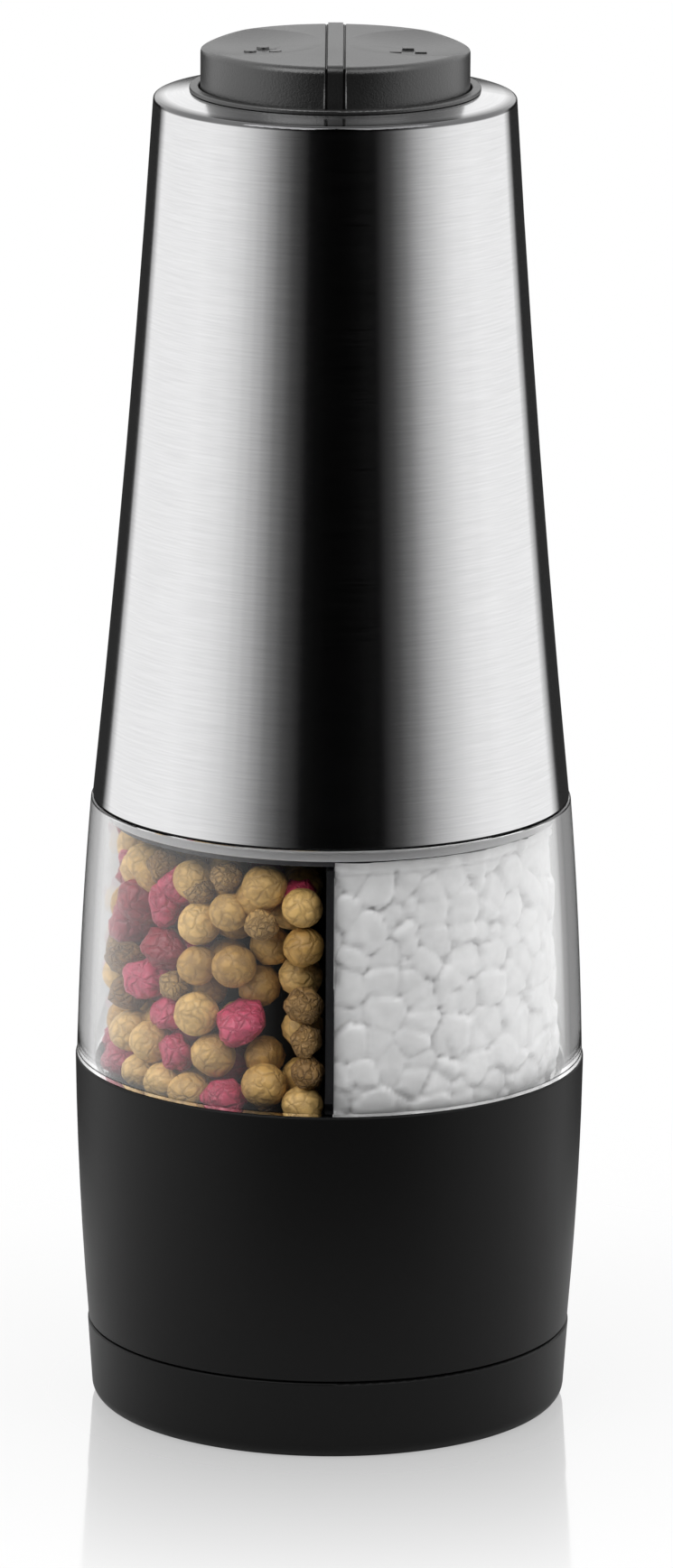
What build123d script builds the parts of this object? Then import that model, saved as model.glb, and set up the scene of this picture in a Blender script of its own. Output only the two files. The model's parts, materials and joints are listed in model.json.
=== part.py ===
import math
import os

from build123d import *

os.makedirs("parts", exist_ok=True)

# All sizes are in millimetres. Z is up, the front is -Y, pepper is at -X and salt at +X.

# Clearances
TOUCH = 0.05          # between pieces that rest on each other
FIT = 0.10            # between fixed pieces, one inside the other
RUN = 0.08            # between a turning journal and its bore
SLIDE = 0.15          # between sliding pieces
SEAM = 0.15           # visible joint between base cap and housing
AIR = 0.40            # between turning pieces and what stands next to them

# Base cap
CAP_HEIGHT = 12.0
CAP_FLOOR = 2.0
CAP_PROUD = 0.15
CAP_TAPER = 0.8
FOOT_EDGE = 2.2
FOOT_RECESS = 0.6
FOOT_RING = 7.5
SPIGOT_HEIGHT = 4.0
SPIGOT_WALL = 1.5

# Grinders
KNOB_CLEAR = 1.0
KNOB_HEIGHT = 6.6
KNOB_R = 8.0
KNOB_BOSS_R = 5.0
CONE_HEIGHT = 12.0
CONE_R = 10.1
CONE_NOSE_R = 4.6
SKIRT_HEIGHT = 4.0
SKIRT_SLOPE = 20.0
GRIND_GAP = 0.55
BURR_RING_WALL = 1.85
BURR_RING_HEIGHT = 13.3
BURR_TRAVEL = 0.6
BURR_SPRING_LENGTH = 7.0
BURR_SPRING_WIRE = 0.6
HOLDER_WALL = 1.4
HOLDER_LIP = 1.8
HOLDER_FLANGE = 2.2
HOLDER_SPACING = 6.0
EAR_REACH = 3.5
EAR_R = 3.2
SHAFT_R = 3.0
HEX_ACROSS = 5.0
STUD_R = 2.0
COLLAR_R = 4.4
COLLAR_HEIGHT = 1.2
HUB_HEIGHT = 4.5
HUB_WALL = 1.2
BUSH_WALL = 1.4
SPIDER_ARM = 2.0
SCREW_R = 1.1
SCREW_HEAD_R = 2.1
SCREW_HEAD_HEIGHT = 1.5
SCREW_HOLE_ROOF = 1.0
SCREW_TIP_ROOF = 1.5

# Housing and container
DECK_THICKNESS = 4.0
FUNNEL_FLARE = 2.6
HOUSING_WALL = 2.2
HOUSING_ROOM = 4.3
HOUSING_TAPER = 1.95
HOUSING_BOW = 0.35
JAR_SOCKET = 4.0
JAR_HEIGHT = 39.0
JAR_STEP = 0.2
JAR_TAPER = 2.3
JAR_BOW = 0.3
JAR_WALL = 2.4
JAR_FOOT_WALL = 2.0
DIVIDER_THICKNESS = 1.1

# Gear case and gears
CASE_FLOOR = 2.4
CASE_FLANGE = 2.0
CASE_WALL = 1.7
CASE_ROOM = 2.15
TONGUE_HEIGHT = 3.0
TONGUE_WALL = 1.5
SEAL_THICKNESS = 1.0
SEAL_HEIGHT = 2.1
MODULE = 0.5
PINION_TEETH = 10
WHEEL_TEETH = 40
TOOTH_SHIFT = 0.25
TOOTH_SLACK = 0.10
GEAR_FACE = 4.0
OUTPUT_HUB_WALL = 1.6
AXLE_R = 1.0
IDLER_BEARING = 117.0
PLATE_THICKNESS = 2.5
BOLT_ANGLES = (100.0, 140.0, 280.0, 320.0)
BOLT_BOSS_R = 2.6
BOLT_R = 1.2
BOLT_GRIP = 6.5
BOLT_HOLE_DEPTH = 8.0
BOARD_SCREW_R = 0.9
BOARD_SCREW_Y = 12.0
BOARD_SCREW_HEAD_R = 1.8
BOARD_SCREW_HEAD_HEIGHT = 1.2
BOARD_SCREW_GRIP = 1.8
BOARD_POST_R = 2.2

# Motors and cage
MOTOR_R = 11.9
MOTOR_LENGTH = 25.0
MOTOR_CAP = 2.0
MOTOR_BOSS_R = 3.0
MOTOR_SPACING = 4.3
MOTOR_SHAFT_R = 1.0
CAGE_WALL = 1.6
CAGE_PLATE = 2.0
WIRE_SPACE = 1.8
WIRE_R = 0.5

# Batteries
CELL_R = 5.25
CELL_LENGTH = 44.5
CELL_COUNT = 6
CELL_SPACE = 5.0
CELL_SPRING = 2.2
CONTACT_THICKNESS = 0.4
DISC_THICKNESS = 2.0
DISC_RIM = 1.5
CORE_R = 6.5
CORE_BORE_R = 4.2
FIN_THICKNESS = 1.5

# Switch board, buttons and sleeve
BOARD_GAP = 0.5
BOARD_THICKNESS = 1.6
BOARD_R = 17.0
SWITCH_WIDTH = 7.0
SWITCH_HEIGHT = 2.2
PLUNGER_R = 1.6
PLUNGER_RISE = 1.6
TRAY_CLEAR = 0.6
TRAY_THICKNESS = 1.4
TRAY_RIM = 2.0
PRESS = 1.2
BUTTON_R = 19.5
BUTTON_GAP = 0.25
BUTTON_RISE = 5.9
BUTTON_TOP = 2.6
BUTTON_WALL = 1.6
BUTTON_EDGE = 1.1
BUTTON_LIP = 0.8
BUTTON_SPRING_WIRE = 0.5
ROD_R = 1.5
ROD_X = 10.5
DISH_R = 34.0
DISH_DEPTH = 1.0
DISH_Y = 1.5
BAR_WIDTH = 2.2
BAR_PROUD = 0.2
COLLAR_LIP = 0.6
COLLAR_WALL = 0.6
COLLAR_WIDTH = 1.35
TOP_LAND = 5.2
TOP_RISE = 0.9
RIM_EDGE = 0.5
SHELL_WALL = 0.8
SHELL_STEP = 0.25
SHELL_SEAM = 0.35
SHELL_BOW = 0.5
SHELL_ROOM = 1.0

SIDES = (("pepper", -1), ("salt", 1))
UP = (Align.CENTER, Align.CENTER, Align.MIN)
DOWN = (Align.CENTER, Align.CENTER, Align.MAX)

# Heights, from the table up
Z_SEAM = CAP_HEIGHT
Z_KNOB = Z_SEAM + KNOB_CLEAR
Z_CONE = Z_KNOB + KNOB_HEIGHT + 2 * TOUCH
Z_NOSE = Z_CONE + CONE_HEIGHT
Z_COLLAR = Z_NOSE + BURR_SPRING_LENGTH
Z_HUB = Z_COLLAR + COLLAR_HEIGHT + 2 * TOUCH
Z_DECK = Z_HUB + HUB_HEIGHT
Z_FLOOR = Z_DECK + DECK_THICKNESS
Z_BELLY = Z_FLOOR + JAR_SOCKET
Z_JAR = Z_BELLY + JAR_HEIGHT
Z_HEAD = Z_JAR + TOUCH
Z_GEARS = Z_HEAD + CASE_FLOOR
Z_LOW = Z_GEARS + AIR
Z_HIGH = Z_LOW + GEAR_FACE + AIR
Z_PLATE = Z_HIGH + GEAR_FACE + AIR
Z_MOTOR = Z_PLATE + PLATE_THICKNESS
Z_WIRES = Z_MOTOR + MOTOR_LENGTH
Z_DISC = Z_WIRES + WIRE_SPACE + CAGE_PLATE
Z_CELLS = Z_DISC + DISC_THICKNESS + CONTACT_THICKNESS
Z_CELL_END = Z_CELLS + CELL_SPRING + CELL_LENGTH
Z_DISC_TOP = Z_CELL_END + CONTACT_THICKNESS + DISC_THICKNESS
Z_BOARD = Z_DISC_TOP + BOARD_GAP
Z_SWITCH = Z_BOARD + BOARD_THICKNESS
Z_ROD = Z_SWITCH + SWITCH_HEIGHT + PLUNGER_RISE
Z_TRAY = Z_ROD + TRAY_CLEAR
Z_WELL = Z_TRAY + TRAY_THICKNESS
Z_SKIRT = Z_WELL + PRESS + AIR
Z_LIP = Z_SKIRT + BUTTON_LIP + TOUCH
Z_COLLAR_TOP = Z_LIP + COLLAR_LIP
Z_TOP = Z_COLLAR_TOP + BUTTON_RISE
Z_SHELL = Z_JAR + SHELL_SEAM
Z_CROWN = Z_LIP - TOUCH
Z_RIM = Z_CROWN - TOP_RISE
Z_TONGUE = Z_HEAD - TONGUE_HEIGHT

# Radii, from the burrs out
HEX_R = HEX_ACROSS / 2
RING_BORE_R = CONE_R + GRIND_GAP
BURR_RING_R = RING_BORE_R + BURR_RING_WALL
SEAT_R = BURR_RING_R + FIT
HOLDER_R = SEAT_R + HOLDER_WALL
SPINDLE_X = HOLDER_R + HOLDER_SPACING / 2
EAR_Y = HOLDER_R + EAR_REACH
BUSH_R = SHAFT_R + RUN + BUSH_WALL
HUB_R = BUSH_R + HUB_WALL
FUNNEL_R = SEAT_R + FUNNEL_FLARE
R_BELLY = SPINDLE_X + HOLDER_R + HOUSING_ROOM + HOUSING_WALL
R_WELL = R_BELLY - HOUSING_WALL
R_MOUTH = R_BELLY - HOUSING_TAPER
R_SOCKET = R_MOUTH - HOUSING_WALL
R_SPIGOT = R_SOCKET - SLIDE
R_CAP = R_MOUTH + CAP_PROUD
R_FOOT = R_CAP - CAP_TAPER
R_JAR = R_BELLY - JAR_STEP
R_JAR_TOP = R_BELLY - JAR_TAPER
R_JAR_FOOT = R_WELL - FIT
R_JAR_NECK = R_JAR_TOP - JAR_WALL
R_SHELL = R_JAR_TOP - SHELL_STEP
R_FLANGE = R_SHELL - SHELL_WALL - 0.5
R_CASE = R_SHELL - SHELL_WALL - CASE_ROOM
R_CASE_IN = R_CASE - CASE_WALL
R_TONGUE = R_JAR_NECK - SEAL_THICKNESS - FIT
OUTPUT_HUB_R = HEX_R / math.cos(math.pi / 6) + OUTPUT_HUB_WALL
CELL_RING_R = (2 * CELL_R + CELL_SPACE) / (2 * math.sin(math.pi / CELL_COUNT))
DISC_R = CELL_RING_R + CELL_R + DISC_RIM
R_LIP = BUTTON_R + BUTTON_GAP
R_COLLAR = R_LIP + COLLAR_WIDTH
R_COLLAR_WALL = R_COLLAR - 0.4
R_HOLE = R_COLLAR_WALL + FIT
R_TRAY = R_COLLAR + TRAY_RIM
R_RIM = max(R_COLLAR + TOP_LAND, DISC_R + SHELL_ROOM + SHELL_WALL)
FLAT_X = BAR_WIDTH / 2 + BUTTON_GAP
BUTTON_LIP_R = R_COLLAR_WALL - COLLAR_WALL - SLIDE

# Gear centres on the salt side. The pepper side is the same train turned half round.
REACH = MODULE * (PINION_TEETH + WHEEL_TEETH) / 2
IDLER_X = SPINDLE_X + REACH * math.cos(math.radians(IDLER_BEARING))
IDLER_Y = REACH * math.sin(math.radians(IDLER_BEARING))
MOTOR_X = MOTOR_R + MOTOR_SPACING / 2
MOTOR_Y = IDLER_Y - math.sqrt(REACH**2 - (MOTOR_X - IDLER_X) ** 2)
CAGE_BORE_R = MOTOR_R + FIT
TUBE_R = CAGE_BORE_R + CAGE_WALL
CAGE_R = math.hypot(MOTOR_X, MOTOR_Y) + TUBE_R + 0.6
BOLT_RING_R = R_CASE_IN - BOLT_BOSS_R + 0.4
LEAD_X = MOTOR_X - 3.0
LEAD_Y = 2.5


def save(piece, name):
    """Label one finished piece and write it."""
    piece.part.label = name
    export_step(piece.part, f"parts/{name}.step")


def gear_points(teeth, shift, phase):
    """Outline of a spur gear whose first tooth points along phase, in radians."""
    pressure = math.radians(20)
    pitch_r = MODULE * teeth / 2
    base_r = pitch_r * math.cos(pressure)
    tip_r = pitch_r + MODULE * (1 + shift)
    root_r = pitch_r - MODULE * (1.25 - shift)
    half = math.pi / (2 * teeth) + 2 * shift * math.tan(pressure) / teeth - TOOTH_SLACK / (2 * pitch_r)

    def flank(radius):
        roll = math.acos(min(1.0, base_r / radius))
        return half + math.tan(pressure) - pressure - math.tan(roll) + roll

    start_r = max(base_r, root_r)
    middle_r = (start_r + tip_r) / 2
    rise = [(start_r, flank(start_r)), (middle_r, flank(middle_r)), (tip_r, flank(tip_r))]
    if root_r < base_r:
        rise.insert(0, (root_r, flank(start_r)))
    points = []
    for tooth in range(teeth):
        centre = phase + 2 * math.pi * tooth / teeth
        for radius, angle in rise:
            points.append((radius * math.cos(centre - angle), radius * math.sin(centre - angle)))
        for radius, angle in reversed(rise):
            points.append((radius * math.cos(centre + angle), radius * math.sin(centre + angle)))
    return points


def coil_arcs(centre, radius, pitch, turns):
    """Arcs of an upright coil: each quarter turn is two arcs that meet smoothly."""
    rise = pitch / (2 * math.pi)

    def point(angle):
        return centre + Vector(radius * math.cos(angle), radius * math.sin(angle), rise * angle)

    def heading(angle):
        return Vector(-radius * math.sin(angle), radius * math.cos(angle), rise).normalized()

    arcs = []
    for quarter in range(4 * turns):
        low = quarter * math.pi / 2
        start, end = point(low), point(low + math.pi / 2)
        leave, arrive = heading(low), heading(low + math.pi / 2)
        chord = end - start
        along = chord.dot(leave + arrive)
        turn = 1 - leave.dot(arrive)
        reach = (math.sqrt(along**2 + 2 * turn * chord.dot(chord)) - along) / (2 * turn)
        knee = (start + end + (leave - arrive) * reach) * 0.5
        bend = (end - arrive * reach) - (start + leave * reach)
        arcs.append((start, knee, leave))
        arcs.append((knee, end, bend.normalized()))
    return arcs


# Base cap: a shallow cup that plugs into the mouth of the housing and catches what falls
with BuildPart() as base_cap:
    with BuildSketch(Plane.XZ):
        with BuildLine():
            Polyline(
                (0, 0),
                (R_FOOT, 0),
                (R_CAP, Z_SEAM - SEAM),
                (R_SPIGOT, Z_SEAM - SEAM),
                (R_SPIGOT, Z_SEAM + SPIGOT_HEIGHT),
                (R_SPIGOT - SPIGOT_WALL, Z_SEAM + SPIGOT_HEIGHT),
                (R_SPIGOT - SPIGOT_WALL, CAP_FLOOR),
                (0, CAP_FLOOR),
                close=True,
            )
        make_face()
    revolve(axis=Axis.Z)
    fillet(base_cap.edges().group_by(Axis.Z)[0], FOOT_EDGE)
    with BuildSketch():
        Circle(R_FOOT - FOOT_RING)
    extrude(amount=FOOT_RECESS, mode=Mode.SUBTRACT)
    fillet(base_cap.edges().filter_by_position(Axis.Z, Z_SEAM - 0.2, Z_SEAM).sort_by(SortBy.LENGTH)[-1], 0.3)
save(base_cap, "base_cap")

# Grinder housing: tapered skirt, deck with two funnels, well for the container's foot
with BuildPart() as grinder_housing:
    with BuildSketch(Plane.XZ):
        with BuildLine():
            SagittaArc((R_MOUTH, Z_SEAM), (R_BELLY, Z_BELLY), -HOUSING_BOW)
            Polyline(
                (R_BELLY, Z_BELLY),
                (R_WELL, Z_BELLY),
                (R_WELL, Z_FLOOR),
                (0, Z_FLOOR),
                (0, Z_DECK),
                (R_WELL, Z_DECK),
                (R_SOCKET, Z_SEAM + SPIGOT_HEIGHT + 1.0),
                (R_SOCKET, Z_SEAM),
                (R_MOUTH, Z_SEAM),
            )
        make_face()
    revolve(axis=Axis.Z)
    with Locations((SPINDLE_X, 0, Z_DECK), (-SPINDLE_X, 0, Z_DECK)):
        Cone(SEAT_R, FUNNEL_R, DECK_THICKNESS, align=UP, mode=Mode.SUBTRACT)
    with Locations((0, 0, Z_DECK)):
        with GridLocations(2 * SPINDLE_X, 2 * EAR_Y, 2, 2):
            Cylinder(SCREW_R + FIT, DECK_THICKNESS - SCREW_HOLE_ROOF, align=UP, mode=Mode.SUBTRACT)
    fillet(grinder_housing.edges().group_by(Axis.Z)[0].sort_by(SortBy.LENGTH)[-1], 0.3)
    fillet(grinder_housing.edges().group_by(Axis.Z)[-1].sort_by(SortBy.LENGTH)[-1], 0.4)
save(grinder_housing, "grinder_housing")

# Container: clear barrel open at both ends, with a stepped foot that stands on the deck
with BuildPart() as container:
    with BuildSketch(Plane.XZ):
        with BuildLine():
            SagittaArc((R_JAR, Z_BELLY + TOUCH), (R_JAR_TOP, Z_JAR), -JAR_BOW)
            Line((R_JAR_TOP, Z_JAR), (R_JAR_NECK, Z_JAR))
            SagittaArc((R_JAR_NECK, Z_JAR), (R_JAR - JAR_WALL, Z_BELLY + 1.5), JAR_BOW)
            Polyline(
                (R_JAR - JAR_WALL, Z_BELLY + 1.5),
                (R_JAR_FOOT - JAR_FOOT_WALL, Z_BELLY),
                (R_JAR_FOOT - JAR_FOOT_WALL, Z_FLOOR + TOUCH),
                (R_JAR_FOOT, Z_FLOOR + TOUCH),
                (R_JAR_FOOT, Z_BELLY + TOUCH),
                (R_JAR, Z_BELLY + TOUCH),
            )
        make_face()
    revolve(axis=Axis.Z)
    fillet(container.edges().group_by(Axis.Z)[-1].sort_by(SortBy.LENGTH)[-1], 0.4)
save(container, "container")

# Chamber divider: thin upright plate that follows the inside of the container
with BuildPart() as chamber_divider:
    with BuildSketch(Plane.XZ):
        with BuildLine():
            Line((0, Z_TONGUE - AIR), (R_JAR_NECK - FIT, Z_TONGUE - AIR))
            SagittaArc((R_JAR_NECK - FIT, Z_TONGUE - AIR), (R_JAR - JAR_WALL - 2 * FIT, Z_BELLY + 1.5), JAR_BOW)
            Polyline(
                (R_JAR - JAR_WALL - 2 * FIT, Z_BELLY + 1.5),
                (R_JAR_FOOT - JAR_FOOT_WALL - FIT, Z_BELLY),
                (R_JAR_FOOT - JAR_FOOT_WALL - FIT, Z_FLOOR + TOUCH),
                (0, Z_FLOOR + TOUCH),
                (0, Z_TONGUE - AIR),
            )
        make_face()
    revolve(axis=Axis.Z)
    with Locations((0, 0, Z_FLOOR)):
        Box(DIVIDER_THICKNESS, 3 * R_BELLY, JAR_HEIGHT + JAR_SOCKET, align=UP, mode=Mode.INTERSECT)
save(chamber_divider, "chamber_divider")

# Screws that hold the two burr holders up against the deck
with BuildPart() as grinder_screws:
    with Locations((0, 0, Z_DECK - HOLDER_FLANGE - TOUCH)):
        with GridLocations(2 * SPINDLE_X, 2 * EAR_Y, 2, 2):
            Cylinder(SCREW_HEAD_R, SCREW_HEAD_HEIGHT, align=DOWN)
            Cylinder(SCREW_R, HOLDER_FLANGE + DECK_THICKNESS - SCREW_TIP_ROOF, align=UP)
save(grinder_screws, "grinder_screws")

# Grinder of each side: holder, fixed ring, shaft, cone, spring and knob
for side, turn in SIDES:
    spindle = Axis((turn * SPINDLE_X, 0, 0), (0, 0, 1))
    section = Plane(origin=(turn * SPINDLE_X, 0, 0), x_dir=(1, 0, 0), z_dir=(0, -1, 0))
    level = Plane(origin=(turn * SPINDLE_X, 0, 0), x_dir=(turn, 0, 0), z_dir=(0, 0, 1))
    z_ring = Z_CONE - 0.2
    skirt_drop = SKIRT_HEIGHT * math.tan(math.radians(SKIRT_SLOPE))

    # Holder: cup with a bottom lip, two screw ears and a spider that carries the bush
    with BuildPart() as burr_holder:
        with BuildSketch(section):
            with BuildLine():
                Polyline(
                    (RING_BORE_R + 0.6, z_ring - HOLDER_LIP),
                    (HOLDER_R, z_ring - HOLDER_LIP),
                    (HOLDER_R, Z_DECK - TOUCH),
                    (SEAT_R, Z_DECK - TOUCH),
                    (SEAT_R, z_ring - TOUCH),
                    (RING_BORE_R + 0.6, z_ring - TOUCH),
                    close=True,
                )
            make_face()
        revolve(axis=spindle)
        with BuildSketch(level.offset(Z_DECK - TOUCH - HOLDER_FLANGE)):
            SlotCenterToCenter(2 * EAR_Y, 2 * EAR_R, rotation=90)
            Circle(SEAT_R, mode=Mode.SUBTRACT)
            with Locations((0, EAR_Y), (0, -EAR_Y)):
                Circle(SCREW_R + SLIDE, mode=Mode.SUBTRACT)
        extrude(amount=HOLDER_FLANGE)
        with BuildSketch(level.offset(Z_HUB)):
            Circle(HUB_R)
            with PolarLocations(0, 3):
                Rectangle(SEAT_R + HOLDER_WALL / 2, SPIDER_ARM, align=(Align.MIN, Align.CENTER))
            Circle(BUSH_R + TOUCH, mode=Mode.SUBTRACT)
        extrude(amount=HUB_HEIGHT - TOUCH)
    save(burr_holder, f"{side}_burr_holder")

    # Ring: ceramic, waisted inside, with upright grooves
    with BuildPart() as burr_ring:
        with BuildSketch(section):
            with BuildLine():
                Polyline(
                    (RING_BORE_R, z_ring),
                    (BURR_RING_R, z_ring),
                    (BURR_RING_R, z_ring + BURR_RING_HEIGHT),
                    (BURR_RING_R - 0.8, z_ring + BURR_RING_HEIGHT),
                    (RING_BORE_R - skirt_drop, Z_CONE + SKIRT_HEIGHT + 3.0),
                    (RING_BORE_R - skirt_drop, Z_CONE + SKIRT_HEIGHT),
                    close=True,
                )
            make_face()
        revolve(axis=spindle)
        with Locations((turn * SPINDLE_X, 0, z_ring + SKIRT_HEIGHT)):
            with PolarLocations(RING_BORE_R - skirt_drop, 18):
                Box(1.2, 1.2, BURR_RING_HEIGHT, rotation=(0, 0, 45), align=UP, mode=Mode.SUBTRACT)
    save(burr_ring, f"{side}_burr_ring")

    # Bush: plain sleeve in the spider
    with BuildPart() as shaft_bush:
        with BuildSketch(level.offset(Z_HUB)):
            Circle(BUSH_R)
            Circle(SHAFT_R + RUN, mode=Mode.SUBTRACT)
        extrude(amount=HUB_HEIGHT - TOUCH)
    save(shaft_bush, f"{side}_shaft_bush")

    # Shaft: threaded end, hexagon for the cone, collar, round middle, hexagon for the drive socket
    z_stud = Z_KNOB + 2 + BURR_TRAVEL
    z_hex = Z_CONE + BURR_TRAVEL + AIR
    z_drive = Z_TONGUE - 2.0
    z_shaft_top = Z_LOW + GEAR_FACE - 1.5
    with BuildPart() as drive_shaft:
        with BuildSketch(level.offset(z_stud)):
            Circle(STUD_R)
        extrude(amount=z_hex - z_stud)
        with BuildSketch(level.offset(z_hex)):
            RegularPolygon(HEX_R, 6, major_radius=False)
        extrude(amount=Z_COLLAR - z_hex)
        with BuildSketch(level.offset(Z_COLLAR)):
            Circle(COLLAR_R)
        extrude(amount=COLLAR_HEIGHT)
        with BuildSketch(level.offset(Z_COLLAR + COLLAR_HEIGHT)):
            Circle(SHAFT_R)
        extrude(amount=z_drive - Z_COLLAR - COLLAR_HEIGHT)
        with BuildSketch(level.offset(z_drive)):
            RegularPolygon(HEX_R, 6, major_radius=False)
        extrude(amount=z_shaft_top - z_drive)
        chamfer(drive_shaft.edges().group_by(Axis.Z)[-1], 0.4)
        chamfer(drive_shaft.edges().group_by(Axis.Z)[0], 0.4)
    save(drive_shaft, f"{side}_drive_shaft")

    # Clip: open ring that keeps the shaft from dropping out of the bush
    with BuildPart() as shaft_clip:
        with BuildSketch(level.offset(Z_DECK + 2 * TOUCH)):
            Circle(BUSH_R + 0.4)
            Circle(SHAFT_R + 0.03, mode=Mode.SUBTRACT)
            Rectangle(2 * BUSH_R, 1.6, align=(Align.MIN, Align.CENTER), mode=Mode.SUBTRACT)
        extrude(amount=0.8)
    save(shaft_clip, f"{side}_shaft_clip")

    # Cone: ceramic, with coarse slanted grooves above and fine grooves on the skirt
    slant = math.degrees(math.atan2(CONE_R - skirt_drop - CONE_NOSE_R, CONE_HEIGHT - SKIRT_HEIGHT))
    with BuildPart() as burr_cone:
        with BuildSketch(section):
            with BuildLine():
                Polyline(
                    (0, Z_CONE),
                    (CONE_R, Z_CONE),
                    (CONE_R - skirt_drop, Z_CONE + SKIRT_HEIGHT),
                    (CONE_NOSE_R, Z_NOSE),
                    (0, Z_NOSE),
                    close=True,
                )
            make_face()
        revolve(axis=spindle)
        with Locations((turn * SPINDLE_X, 0, Z_CONE + SKIRT_HEIGHT + 4.0)):
            with PolarLocations((CONE_NOSE_R + CONE_R - skirt_drop) / 2 + 0.3, 8):
                Box(2.0, 2.0, CONE_HEIGHT, rotation=(12, -slant, 0), mode=Mode.SUBTRACT)
        with Locations((turn * SPINDLE_X, 0, Z_CONE + SKIRT_HEIGHT / 2)):
            with PolarLocations(CONE_R - skirt_drop / 2 + 0.1, 24, start_angle=7.5):
                Box(1.0, 0.8, 1.5 * SKIRT_HEIGHT, rotation=(0, -SKIRT_SLOPE, 0), mode=Mode.SUBTRACT)
        with BuildSketch(level.offset(Z_CONE)):
            RegularPolygon(HEX_R + FIT, 6, major_radius=False)
        extrude(amount=CONE_HEIGHT, mode=Mode.SUBTRACT)
    save(burr_cone, f"{side}_burr_cone")

    # Knob: scalloped nut under the cone that sets how coarse the mill grinds
    with BuildPart() as adjust_knob:
        with BuildSketch(level.offset(Z_KNOB)):
            Circle(KNOB_R)
            with PolarLocations(KNOB_R + 1.2, 10):
                Circle(2.0, mode=Mode.SUBTRACT)
        extrude(amount=KNOB_HEIGHT - 1.0)
        fillet(adjust_knob.edges().group_by(Axis.Z)[0], 0.4)
        with BuildSketch(level.offset(Z_KNOB + KNOB_HEIGHT - 1.0)):
            Circle(KNOB_BOSS_R)
        extrude(amount=1.0)
        with BuildSketch(level.offset(Z_KNOB + KNOB_HEIGHT)):
            Circle(STUD_R + SLIDE)
        extrude(amount=-(KNOB_HEIGHT - 1.4), mode=Mode.SUBTRACT)
    save(adjust_knob, f"{side}_adjust_knob")

    # Burr spring: coil round the shaft that pushes the cone down on to the knob
    coil_r = HEX_R / math.cos(math.pi / 6) + AIR + BURR_SPRING_WIRE / 2
    pitch = (BURR_SPRING_LENGTH - 2 * TOUCH - BURR_SPRING_WIRE) / 4
    start = Vector(turn * SPINDLE_X, 0, Z_NOSE + TOUCH + BURR_SPRING_WIRE / 2)
    print(side, "burr spring, gap between turns", round(pitch - BURR_SPRING_WIRE, 2))
    with BuildPart() as burr_spring:
        with BuildLine() as wire:
            for first, last, leave in coil_arcs(start, coil_r, pitch, 4):
                TangentArc(first, last, tangent=leave)
        with BuildSketch(Plane(origin=wire.line @ 0, z_dir=wire.line % 0)):
            Circle(BURR_SPRING_WIRE / 2)
        sweep()
    save(burr_spring, f"{side}_burr_spring")

# Gear case: closes the container with a tongue, carries the gears and the two drive bosses
with BuildPart() as gear_case:
    with BuildSketch(Plane.XZ):
        with BuildLine():
            Polyline(
                (0, Z_HEAD),
                (R_TONGUE - TONGUE_WALL, Z_HEAD),
                (R_TONGUE - TONGUE_WALL, Z_TONGUE),
                (R_TONGUE, Z_TONGUE),
                (R_TONGUE, Z_HEAD),
                (R_FLANGE, Z_HEAD),
                (R_FLANGE, Z_HEAD + CASE_FLANGE),
                (R_CASE, Z_HEAD + CASE_FLANGE),
                (R_CASE, Z_PLATE),
                (R_CASE_IN, Z_PLATE),
                (R_CASE_IN, Z_GEARS),
                (0, Z_GEARS),
                close=True,
            )
        make_face()
    revolve(axis=Axis.Z)
    with BuildSketch(Plane.XY.offset(Z_TONGUE)):
        with Locations((SPINDLE_X, 0), (-SPINDLE_X, 0)):
            Circle(OUTPUT_HUB_R + 2.0)
    extrude(amount=TONGUE_HEIGHT)
    with BuildSketch(Plane.XY.offset(Z_TONGUE)):
        with Locations((SPINDLE_X, 0), (-SPINDLE_X, 0)):
            Circle(OUTPUT_HUB_R + RUN)
    extrude(amount=Z_GEARS - Z_TONGUE, mode=Mode.SUBTRACT)
    for angle in BOLT_ANGLES:
        spot = Vector(BOLT_RING_R, 0, 0).rotate(Axis.Z, angle)
        with Locations((spot.X, spot.Y, Z_GEARS - 0.5)):
            Cylinder(BOLT_BOSS_R, Z_PLATE - Z_GEARS + 0.5, align=UP)
        with Locations((spot.X, spot.Y, Z_PLATE)):
            Cylinder(BOLT_R + FIT, BOLT_HOLE_DEPTH, align=DOWN, mode=Mode.SUBTRACT)
    with Locations((IDLER_X, IDLER_Y, Z_GEARS), (-IDLER_X, -IDLER_Y, Z_GEARS)):
        Cylinder(AXLE_R + 0.02, 1.5, align=DOWN, mode=Mode.SUBTRACT)
save(gear_case, "gear_case")

# Seal: translucent ring on the tongue, seen through the container's rim
with BuildPart() as jar_seal:
    with BuildSketch(Plane.XY.offset(Z_HEAD - SEAL_HEIGHT)):
        Circle(R_JAR_NECK - FIT)
        Circle(R_TONGUE + 0.02, mode=Mode.SUBTRACT)
    extrude(amount=SEAL_HEIGHT - TOUCH)
    fillet(jar_seal.edges().group_by(Axis.Z)[0].sort_by(SortBy.LENGTH)[-1], 0.3)
save(jar_seal, "jar_seal")

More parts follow.
